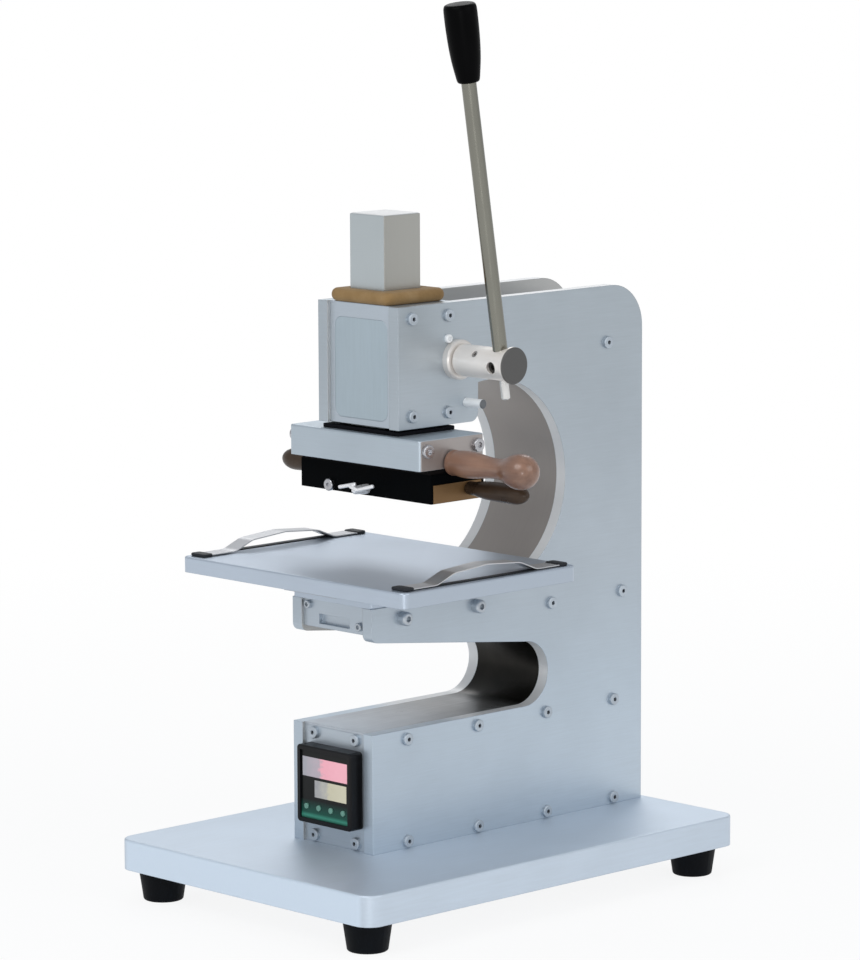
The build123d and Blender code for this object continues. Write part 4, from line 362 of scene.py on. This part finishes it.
def plate_finish():
    """Side plate: brushed faces with painted shade that darkens them towards the top, grey
    inner faces, and a painted highlight that makes the edges round the throats paler."""
    inner_face, outer_face = 27.1, 34.9
    finish = satin_metal("plate_silver", (0.54, 0.62, 0.70), 0.36, 0.75, LEVEL_LINES)
    # painted shade: the faces grow darker and warmer towards the top
    painted_height_shade = finish.ramp(finish.past("Z", 20, 330), (0.0, (1.0, 1.0, 1.0)),
                       (0.2, (0.97, 0.97, 0.965)), (0.45, (0.92, 0.895, 0.87)),
                       (1.0, (0.85, 0.825, 0.79)))
    finish.set("Base Color", finish.mix(1.0, finish.coloured(), painted_height_shade, "MULTIPLY"))
    middle = finish.from_middle()
    inside = finish.span(middle, 1.0, 0.0, (inner_face - 0.05) * MM, inner_face * MM)
    finish.patch(inside, (0.50, 0.50, 0.49))
    # painted highlight: the edges round the throats are made pale and less metallic
    painted_rim_highlight = finish.count("MULTIPLY", finish.between(middle, inner_face, outer_face, 0.2),
                       finish.past("Y", -20, 0))
    return finish.patch(painted_rim_highlight, (0.84, 0.845, 0.845), 0.25)


def ram_finish():
    """Ground steel ram with painted shade, darker and warmer, on its right face, and a paler
    top end.
    """
    finish = satin_metal("ram_silver", (0.51, 0.555, 0.57), 0.34, 0.75, (900, 900, 12),
                         edge=0.0006, depth=0.00001, cloud=0.04, streaks=0.97)
    # painted shade: the right face darker and warmer
    finish.patch(finish.past("X", 14.5, 14.8), (0.43, 0.425, 0.395))
    return finish.patch(finish.past("Z", 382.9, 383.5), (0.80, 0.80, 0.795), 0.2)


def press_plate_finish():
    """Pressure plate with painted shade, darker and warmer, on its right end."""
    finish = satin_metal("press_plate_silver", (0.505, 0.575, 0.635), 0.36, 0.75, LEVEL_LINES)
    # painted shade: the right end darker and warmer
    return finish.patch(finish.past("X", 57.0, 57.2), (0.41, 0.375, 0.36))


def table_finish():
    """Table: a smooth top, and painted shade on the edge faces at the right."""
    finish = satin_metal("table_silver", (0.52, 0.59, 0.68), 0.34, 0.75, (30, 1000, 400),
                         edge=0.0009, cloud=0.05)
    # painted shade on the right edge faces
    return finish.patch(finish.past("X", 98.0, 98.4), (0.455, 0.515, 0.59))


def base_finish():
    """Base plate with painted light, paler and bluer, on its front edge."""
    finish = satin_metal("base_silver", (0.62, 0.70, 0.79), 0.45, 0.6, (700, 30, 500),
                         edge=0.001, cloud=0.04)
    # painted light: the front edge paler and bluer
    return finish.patch(finish.past("Y", -158.0, -158.8), (0.69, 0.79, 0.90))


def rod_finish():
    """Drawn steel rod, brighter where it comes out below the hub."""
    finish = satin_metal("rod_steel", (0.255, 0.25, 0.215), 0.24, 1.0, (500, 500, 6),
                         edge=0.0, depth=0.000005, cloud=0.05, streaks=0.94)
    return finish.patch(finish.past("Z", 290, 288), (0.74, 0.73, 0.71), 0.5)


def hub_finish():
    """Bright turned steel with a darker end face."""
    finish = turned_metal("hub_steel", (0.93, 0.88, 0.83), 0.36, 0.45)
    return finish.patch(finish.past("X", 83.3, 83.9), (0.10, 0.098, 0.095))


def grub_finish():
    """Grub screws: the larger one is blackened."""
    finish = worn_steel("grub_steel", (0.42, 0.40, 0.38), 0.4, 0.8)
    return finish.patch(finish.past("X", 65, 66), (0.012, 0.010, 0.008), 0.2)


def bolt_finish():
    """Table bolts, and the guide pin of the head with its blackened end."""
    finish = worn_steel("bolt_steel", (0.52, 0.56, 0.60), 0.4, 0.8, 0.88)
    finish.patch(finish.past("Z", 262, 264), (0.93, 0.95, 0.96), 0.25)
    return finish.patch(finish.past("X", 49.1, 49.4), (0.13, 0.14, 0.15))


def screw_finish():
    """Button head screws of the frame, with painted shade, very dark, on the floors of their
    sockets. A socket's floor lies 0.9 mm outside the face that carries the screw."""
    finish = worn_steel("screw_steel", (0.50, 0.555, 0.61), 0.42, 0.75, 0.9)
    depth = finish.along("Y")
    for where, floor in ((finish.from_middle(), 35.9), (depth, -80.9), (depth, 153.0)):
        # painted shade on the floor of each socket
        socket = finish.between(where, floor - 0.04, floor + 0.04, 0.02)
        finish.patch(socket, (0.02, 0.02, 0.025))
    return finish


def lower_cover_finish():
    """Sheet of the lower arm: painted shade that turns it from pale and bluish at the front to
    grey further back, and very dark where it turns up in the throat.
    """
    finish = satin_metal("lower_sheet", (0.42, 0.42, 0.42), 0.32, 0.75, (300, 12, 60),
                         edge=0.0004, depth=0.000006, cloud=0.05, streaks=0.97)
    stain = finish.noise(60.0, 3.0)
    # painted light and shade: paler and bluer at the front, greyer towards the back
    front = finish.ramp(stain, (0.3, (0.45, 0.49, 0.54)), (0.7, (0.51, 0.56, 0.61)))
    grey = finish.ramp(stain, (0.3, (0.25, 0.25, 0.25)), (0.7, (0.31, 0.31, 0.31)))
    # painted shade, very dark, in the throat
    painted_throat_shade = finish.ramp(stain, (0.3, (0.010, 0.009, 0.007)), (0.7, (0.018, 0.016, 0.013)))
    flat = finish.mix(finish.past("Y", -75, 10), front, grey)
    return finish.set("Base Color", finish.mix(finish.past("Y", 36, 54), flat, painted_throat_shade))


def guide_finish():
    """Silver guide block with painted shade, very dark, on its underside."""
    finish = satin_metal("guide_silver", SILVER, 0.36, 0.75, LEVEL_LINES)
    # painted shade: the underside made very dark
    return finish.patch(finish.past("Z", 256.4, 256.1), (0.01, 0.01, 0.012))


def face_finish():
    """Dark glossy front of the controller with a green band at the buttons."""
    dark, green = (0.006, 0.007, 0.007), (0.012, 0.085, 0.06)
    finish = Finish("controller_front", dark, 0.3, 0.0, Coat_Weight=0.08,
                    Coat_Roughness=0.1, Specular_IOR_Level=0.15)
    band = finish.ramp(finish.past("Z", 13, 29), (0.0, (0.008, 0.05, 0.04)), (0.22, green),
                       (0.34, (0.05, 0.27, 0.19)), (0.46, green),
                       (0.75, (0.008, 0.045, 0.035)), (0.97, dark))
    finish.set("Base Color", band)
    return finish.bump(finish.noise(900.0, 3.0), 0.00001, 0.4)


def display_finish():
    """Two lit windows: the upper one grey then red, the lower one grey then yellow."""
    finish = Finish("display_windows", (0.5, 0.3, 0.3), 0.2, 0.0, Coat_Weight=0.5)
    wobble = finish.span(finish.noise(260.0, 3.0), -0.08, 0.08, 0.3, 0.7)
    across = finish.count("ADD", finish.past("X", -19, 19), wobble)
    upper = finish.ramp(across, (0.0, (0.28, 0.28, 0.31)), (0.34, (0.36, 0.30, 0.34)),
                        (0.46, (0.70, 0.31, 0.37)), (0.8, (0.73, 0.34, 0.40)))
    lower = finish.ramp(across, (0.25, (0.24, 0.24, 0.25)), (0.5, (0.34, 0.33, 0.30)),
                        (0.62, (0.45, 0.42, 0.30)), (0.9, (0.48, 0.45, 0.33)))
    shown = finish.mix(finish.past("Z", 41.5, 42.0), lower, upper)
    for socket in ("Base Color", "Emission Color"):
        finish.set(socket, shown)
    return finish.set("Emission Strength", 0.35)


tan_pad = pad_finish()

FINISHES = {
    anodised: "arm_panel support_block",
    press_plate_finish(): "pressure_plate",
    plate_finish(): "side_plate_left side_plate_right",
    guide_finish(): "guide_block",
    head_metal: "head_panel",
    base_finish(): "base_plate base_rails",
    table_finish(): "work_table table_carrier",
    sheet_metal: "top_cover rear_cover cross_bars frame_spacers slide_bar table_gibs",
    lower_cover_finish(): "lower_cover",
    liner_metal: "throat_liner",
    ram_finish(): "press_ram",
    hub_finish(): "lever_hub",
    shaft_steel: "pinion_shaft",
    rod_finish(): "lever_rod",
    gear_steel: "press_rack drive_pinion pinion_key retaining_ring return_spring",
    grub_finish(): "hub_set_screws",
    bolt_finish(): "table_bolts",
    screw_finish(): "frame_screws foot_screws handle_stud heat_probe heater_cartridges",
    bright_steel: "wing_screw",
    plain_steel: "plate_screws",
    strip_steel: "sprung_strips",
    bush_metal: "bearing_bushes",
    brass: "die_plate",
    heater_black: "heater_block",
    board: "insulating_plate",
    handle_wood: "press_handle",
    knob_brown: "clamp_knob die_knob",
    grip_black: "lever_grip",
    foot_rubber: "rubber_feet",
    boot_rubber_and_strip_shadow: "strip_pads",
    case_black: "controller_case power_inlet switch_frame switch_rocker",
    face_finish(): "controller_face",
    display_finish(): "controller_displays",
    button_green: "controller_button_1 controller_button_2 controller_button_3 "
                  "controller_button_4",
    relay_plastic: "heater_relay",
    tan_pad: "wiper_pad",
}


def dress(piece, finish):
    """Give a piece one finish in place of what it had."""
    piece.data.materials.clear()
    piece.data.materials.append(finish.material)


for finish, names in FINISHES.items():
    for name in names.split():
        dress(node[name], finish)


# Pieces made here, some of them in place of a plainer solid
def finished(name, mesh, finish, body, replaced=(), levels=0, smooth_angle=50):
    """Make the object of a bmesh, smooth it, and say what it rides on and stands for."""
    bmesh.ops.remove_doubles(mesh, verts=mesh.verts, dist=1e-6)
    bmesh.ops.recalc_face_normals(mesh, faces=mesh.faces)
    data = bpy.data.meshes.new(name)
    mesh.to_mesh(data)
    mesh.free()
    piece = bpy.data.objects.new(name, data)
    bpy.context.scene.collection.objects.link(piece)
    data.shade_smooth()
    if levels:
        smooth = piece.modifiers.new("smooth", "SUBSURF")
        smooth.levels = smooth.render_levels = levels
    else:
        data.set_sharp_from_angle(angle=math.radians(smooth_angle))
    dress(piece, finish)
    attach(piece, body)
    if replaced:
        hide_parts(*replaced)
    return piece


def turned(profile, steps=48):
    """Turn (distance, radius) points, in millimetres, about X. The ends lie on the axis."""
    mesh = bmesh.new()
    line = [mesh.verts.new((x * MM, 0, r * MM)) for x, r in profile]
    edges = [mesh.edges.new(pair) for pair in zip(line, line[1:])]
    bmesh.ops.spin(mesh, geom=line + edges, cent=(0, 0, 0), axis=(1, 0, 0),
                   angle=2 * math.pi, steps=steps, use_merge=True)
    return mesh


def place(mesh, matrix):
    """Move and turn a bmesh to its place on the machine."""
    bmesh.ops.transform(mesh, matrix=matrix, verts=mesh.verts)
    return mesh


def wood_handle():
    """Turned wooden handle: a ringed foot, a long swelling, a waist and a ball."""
    points = [(0, 0), (0, 6.9), (0.7, 7.7), (2.2, 8.0), (3.4, 7.7), (4.2, 7.5), (7, 7.9),
              (12, 8.3), (18, 8.2), (24, 7.5), (30, 6.6), (35.5, 6.1), (40, 6.1), (44, 6.6),
              (47, 7.6), (50, 9.0), (53.5, 10.3), (58.2, 11.0), (62.5, 10.3), (66, 8.3),
              (68.4, 5.2), (69.3, 2.2), (69.45, 0)]
    mesh = place(turned(points), Matrix.Translation(at(PLATE_RIGHT, RAM_Y, 237.0)))
    return finished("wood_handle", mesh, handle_wood, "ram", ("press_handle",), 1)


def brown_knob(name, body, replaced, foot, turn, length, radius):
    """Moulded knob: a narrow collar, then a long body with a rounded end."""
    r = radius
    points = [(0, 0), (0, 4.0), (0.5, 4.2), (6.5, 4.2), (7.0, 4.4), (7.6, r * 0.72),
              (9, r * 0.78), (14, r * 0.88), (22, r * 0.96), (length - 4, r * 0.99),
              (length - 1, r * 0.96), (length + 3, r * 0.80), (length + 6, r * 0.48),
              (length + 7.4, r * 0.2), (length + 7.7, 0)]
    mesh = turned(points, 40)
    place(mesh, Matrix.Translation(foot) @ Matrix.Rotation(turn, 4, "Z"))
    return finished(name, mesh, knob_brown, body, replaced, 1)


def black_grip():
    """Moulded grip on the lever, wider towards its flat end, with a rolled rim at its
    neck. The lever leans to the front from the pinion's axis."""
    axis, lean, neck = at(73.6, -10.1, 295.2), math.radians(9.1), 171.5
    outline = [(0, 0), (0, 5.6), (0.5, 6.5), (1.8, 7.0), (4, 7.3), (8, 8.0), (14, 8.9),
               (22, 9.6), (32, 10.0), (41, 10.05), (44.6, 10.0), (46.4, 9.4), (47.1, 8.2),
               (47.2, 6.0), (46.9, 0)]
    points = [(neck + x, r) for x, r in outline]
    standing = Matrix.Rotation(-math.pi / 2, 4, "Y")
    lever = Matrix.Translation(axis) @ Matrix.Rotation(lean, 4, "X") @ standing
    return finished("black_grip", place(turned(points), lever), grip_black, "lever",
                    ("lever_grip",), 1)


def add_part(whole, part):
    """Put one bmesh into another."""
    data = bpy.data.meshes.new("part")
    part.to_mesh(data)
    part.free()
    whole.from_mesh(data)
    bpy.data.meshes.remove(data)


def upright(edge):
    """Whether an edge runs straight up."""
    first, second = edge.verts
    return (first.co - second.co).xy.length < 1e-6


def round_off(mesh, corner, lip, segments, hole=None):
    """Round the upright corners, then the rims above and below, but not round a hole."""
    def outside(edge):
        if not hole:
            return True
        (x0, x1), (y0, y1) = hole
        spare = 1e-5
        return not all(x0 - spare < v.co.x < x1 + spare and y0 - spare < v.co.y < y1 + spare
                       for v in edge.verts)

    def sharp(edge):
        return len(edge.link_faces) == 2 and edge.calc_face_angle() > 1.0

    for offset, wanted in ((corner, True), (lip, False)):
        mesh.normal_update()
        edges = [e for e in mesh.edges if upright(e) == wanted and sharp(e) and outside(e)]
        bmesh.ops.bevel(mesh, geom=edges, offset=offset, segments=segments, profile=0.5,
                        affect="EDGES", material=-1)
    return mesh


def rounded_block(low, high, corner, lip, segments):
    """Block between two corners, round in plan and with a rounded upper and lower rim."""
    mesh = bmesh.new()
    bmesh.ops.create_cube(mesh, size=1.0)
    low, high = Vector(low), Vector(high)
    bmesh.ops.scale(mesh, vec=high - low, verts=mesh.verts)
    bmesh.ops.translate(mesh, vec=(low + high) / 2, verts=mesh.verts)
    return round_off(mesh, corner, lip, segments)


def square_ring(xs, ys, z0, z1):
    """Flat ring with a square hole: nine faces of a grid less the middle one, made
    thick. xs and ys are the outer edge, the hole's two edges and the outer edge."""
    mesh = bmesh.new()
    bmesh.ops.create_grid(mesh, x_segments=3, y_segments=3, size=1.5)
    middle = min(mesh.faces, key=lambda face: face.calc_center_median().length)
    bmesh.ops.delete(mesh, geom=[middle], context="FACES_ONLY")
    for vert in mesh.verts:
        vert.co = (xs[round(vert.co.x + 1.5)], ys[round(vert.co.y + 1.5)], z0)
    made = bmesh.ops.extrude_face_region(mesh, geom=mesh.faces[:])
    raised = [part for part in made["geom"] if isinstance(part, bmesh.types.BMVert)]
    bmesh.ops.translate(mesh, vec=(0, 0, z1 - z0), verts=raised)
    bmesh.ops.recalc_face_normals(mesh, faces=mesh.faces)
    return mesh


def ring_on_ram(name, half_width, ends, heights, corner, lip, finish, body, replaced=()):
    """Ring round the square ram. ends are its front and rear edge on the drawing."""
    front, rear = ends
    xs = [drawn("X", x) for x in (-half_width, -HOLE_HALF, HOLE_HALF, half_width)]
    ys = [y * MM for y in (front, RAM_Y - HOLE_HALF, RAM_Y + HOLE_HALF, rear)]
    mesh = square_ring(xs, ys, *(drawn("Z", z) for z in heights))
    round_off(mesh, corner * MM, lip * MM, 6, (xs[1:3], ys[1:3]))
    return finished(name, mesh, finish, body, replaced)


def wing(start, end, y_range):
    """One thin wing between two points in X and height."""
    thickness = 2.3
    start, end = Vector(start), Vector(end)
    span = end - start
    half = Vector((span.length / 2, (y_range[1] - y_range[0]) / 2, thickness / 2)) * MM
    mesh = rounded_block(-half, half, thickness * 0.3 * MM, thickness * 0.3 * MM, 3)
    middle = (start + end) / 2
    centre = at(middle.x, (y_range[0] + y_range[1]) / 2, middle.y)
    turn = Matrix.Rotation(-math.atan2(span.y, span.x), 4, "Y")
    return place(mesh, Matrix.Translation(centre) @ turn)


def thumb_screw():
    """Clamping screw in front of the heater: a slim stem, a hub and two thin wings."""
    x, z, face = 2.0, 217.4, -53.5
    mesh = bmesh.new()
    stem = turned([(-4.0, 0), (-4.0, 2.5), (0.4, 2.5), (0.6, 3.0), (9.6, 2.6), (11.0, 2.3),
                   (12.2, 1.4), (12.6, 0)], 24)
    place(stem, Matrix.Translation(at(x, face, z)) @ Matrix.Rotation(-math.pi / 2, 4, "Z"))
    add_part(mesh, stem)
    for start, end, y_range in (((-13.6, 0.7), (1.2, 3.9), (-65.6, -63.6)),
                                ((-3.4, 2.4), (3.6, 0.4), (-66.2, -63.8)),
                                ((1.8, 0.2), (16.8, 4.2), (-65.6, -63.6))):
        add_part(mesh, wing((x + start[0], z + start[1]), (x + end[0], z + end[1]), y_range))
    return finished("thumb_screw", mesh, bright_steel, "front_clamp", ("wing_screw",))


def strip_boots():
    """Rubber boots on the ends of the sprung strips, round at their corners."""
    width, length, height = 13.4, 8.0, 2.0
    mesh = bmesh.new()
    for x in (-95.7, 82.3):
        for y in (-111.7, 16.7):
            low = at(x, y, TABLE_TOP)
            high = at(x + width, y + length, TABLE_TOP + height)
            add_part(mesh, rounded_block(low, high, 2.2 * MM, 0.8 * MM, 4))
    return finished("strip_boots", mesh, boot_rubber_and_strip_shadow, "table", ("strip_pads",))


def painted_strip_shadows():
    """Thin dark sheet laid on the table under each sprung strip, from boot to boot: a painted
    shadow of the strip.
    """
    width, sunk, height = 5.0, 0.05, 0.6
    mesh = bmesh.new()
    for x in (-94.6, 89.6):
        low, high = at(x, -104.5, TABLE_TOP - sunk), at(x + width, 17.5, TABLE_TOP + height)
        add_part(mesh, rounded_block(low, high, 1.0 * MM, 0.28 * MM, 3))
    return finished("painted_strip_shadows", mesh, boot_rubber_and_strip_shadow, "table")


ring_on_ram("felt_pad", 26.6, (-59.0, -9.0), (330.0, 338.0), 6.0, 3.75, tan_pad, "frame",
            ("wiper_pad",))
# painted shade: a thin dark ring on the pressure plate that fills the shaded gap under the
# head
ring_on_ram("painted_gap_shade", 33.5, (-58.0, -9.6), (252.3, 254.6), 2.0, 0.4, gap_shade_dark,
            "ram")
thumb_screw()
strip_boots()
# painted shadows under the sprung strips
painted_strip_shadows()
wood_handle()
brown_knob("left_knob", "side_clamp", ("clamp_knob",), at(-57.65, -31.5, 224.6), math.pi,
           32, 6.9)
brown_knob("right_knob", "die_holder", ("die_knob",), at(PLATE_RIGHT, -22.0, 220.2), 0.0,
           43, 6.2)
black_grip()


# Room: floor, light and background
def stage_finish():
    """Pale floor: it keeps the object's shadow, and looks white to the camera, most of
    all far from the object. Metal shows the white floor too."""
    near, away = 0.35, 1.3
    white_near, white_in_metal = 0.88, 0.7
    material = bpy.data.materials.new("studio_floor")
    tree = empty_tree(material)

    def combined(operation, first, second):
        made = add_node(tree, "ShaderNodeMath", {0: first, 1: second}, operation=operation)
        return made.outputs[0]

    place = add_node(tree, "ShaderNodeTexCoord").outputs["Object"]
    reach = add_node(tree, "ShaderNodeVectorMath", {0: place}, operation="LENGTH")
    far = add_node(tree, "ShaderNodeMapRange", {
        "Value": reach.outputs["Value"], "From Min": near, "From Max": away,
        "To Min": white_near, "To Max": 1.0})
    rays = add_node(tree, "ShaderNodeLightPath").outputs
    seen = combined("MULTIPLY", rays["Is Camera Ray"], far.outputs[0])
    shone = combined("MULTIPLY", rays["Is Glossy Ray"], white_in_metal)
    diffuse = add_node(tree, "ShaderNodeBsdfDiffuse", {"Color": (0.86, 0.88, 0.90, 1)})
    glow = add_node(tree, "ShaderNodeEmission", {"Color": (1, 1, 1, 1)})
    blend = add_node(tree, "ShaderNodeMixShader", {
        0: combined("ADD", seen, shone), 1: diffuse.outputs[0], 2: glow.outputs[0]})
    add_node(tree, "ShaderNodeOutputMaterial", {0: blend.outputs[0]})
    return material


def add_floor():
    """Wide floor under the feet. It belongs to the room, not to the object."""
    mesh = bmesh.new()
    bmesh.ops.create_grid(mesh, x_segments=1, y_segments=1, size=20.0)
    data = bpy.data.meshes.new("floor")
    mesh.to_mesh(data)
    mesh.free()
    floor = bpy.data.objects.new("floor", data)
    data.materials.append(stage_finish())
    bpy.context.scene.collection.objects.link(floor)


def add_world():
    """Even light from all sides, and a white background for the camera."""
    world = bpy.data.worlds.new("studio")
    bpy.context.scene.world = world
    tree = empty_tree(world)
    room = add_node(tree, "ShaderNodeBackground", {"Color": (0.93, 0.96, 1.0, 1),
                                                   "Strength": 0.58})
    white = add_node(tree, "ShaderNodeBackground", {"Color": (1, 1, 1, 1)})
    rays = add_node(tree, "ShaderNodeLightPath")
    blend = add_node(tree, "ShaderNodeMixShader", {
        0: rays.outputs["Is Camera Ray"], 1: room.outputs[0], 2: white.outputs[0]})
    add_node(tree, "ShaderNodeOutputWorld", {"Surface": blend.outputs[0]})


def add_lamp(name, stand, size, watts):
    """Rectangular lamp aimed at the middle of the machine."""
    data = bpy.data.lights.new(name, "AREA")
    data.shape = "RECTANGLE"
    data.size, data.size_y = size
    data.energy = watts
    lamp = bpy.data.objects.new(name, data)
    lamp.location = stand
    aim = Vector((0, 0, 0.25)) - Vector(stand)
    lamp.rotation_euler = aim.to_track_quat("-Z", "Y").to_euler()
    bpy.context.scene.collection.objects.link(lamp)


add_camera()
add_floor()
add_world()
add_lamp("key", (0.4, -1.9, 1.9), (1.6, 1.2), 20)
add_lamp("front", (2.35, -2.2, 0.35), (0.45, 0.45), 9)
add_lamp("side", (2.2, 0.4, 1.3), (1.4, 1.2), 11)
add_lamp("rear", (-1.4, 1.6, 1.8), (1.5, 1.2), 12)
bpy.context.scene.view_settings.view_transform = "Standard"

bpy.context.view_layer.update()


def plain(box):
    return [[float(v) for v in corner] for corner in box]
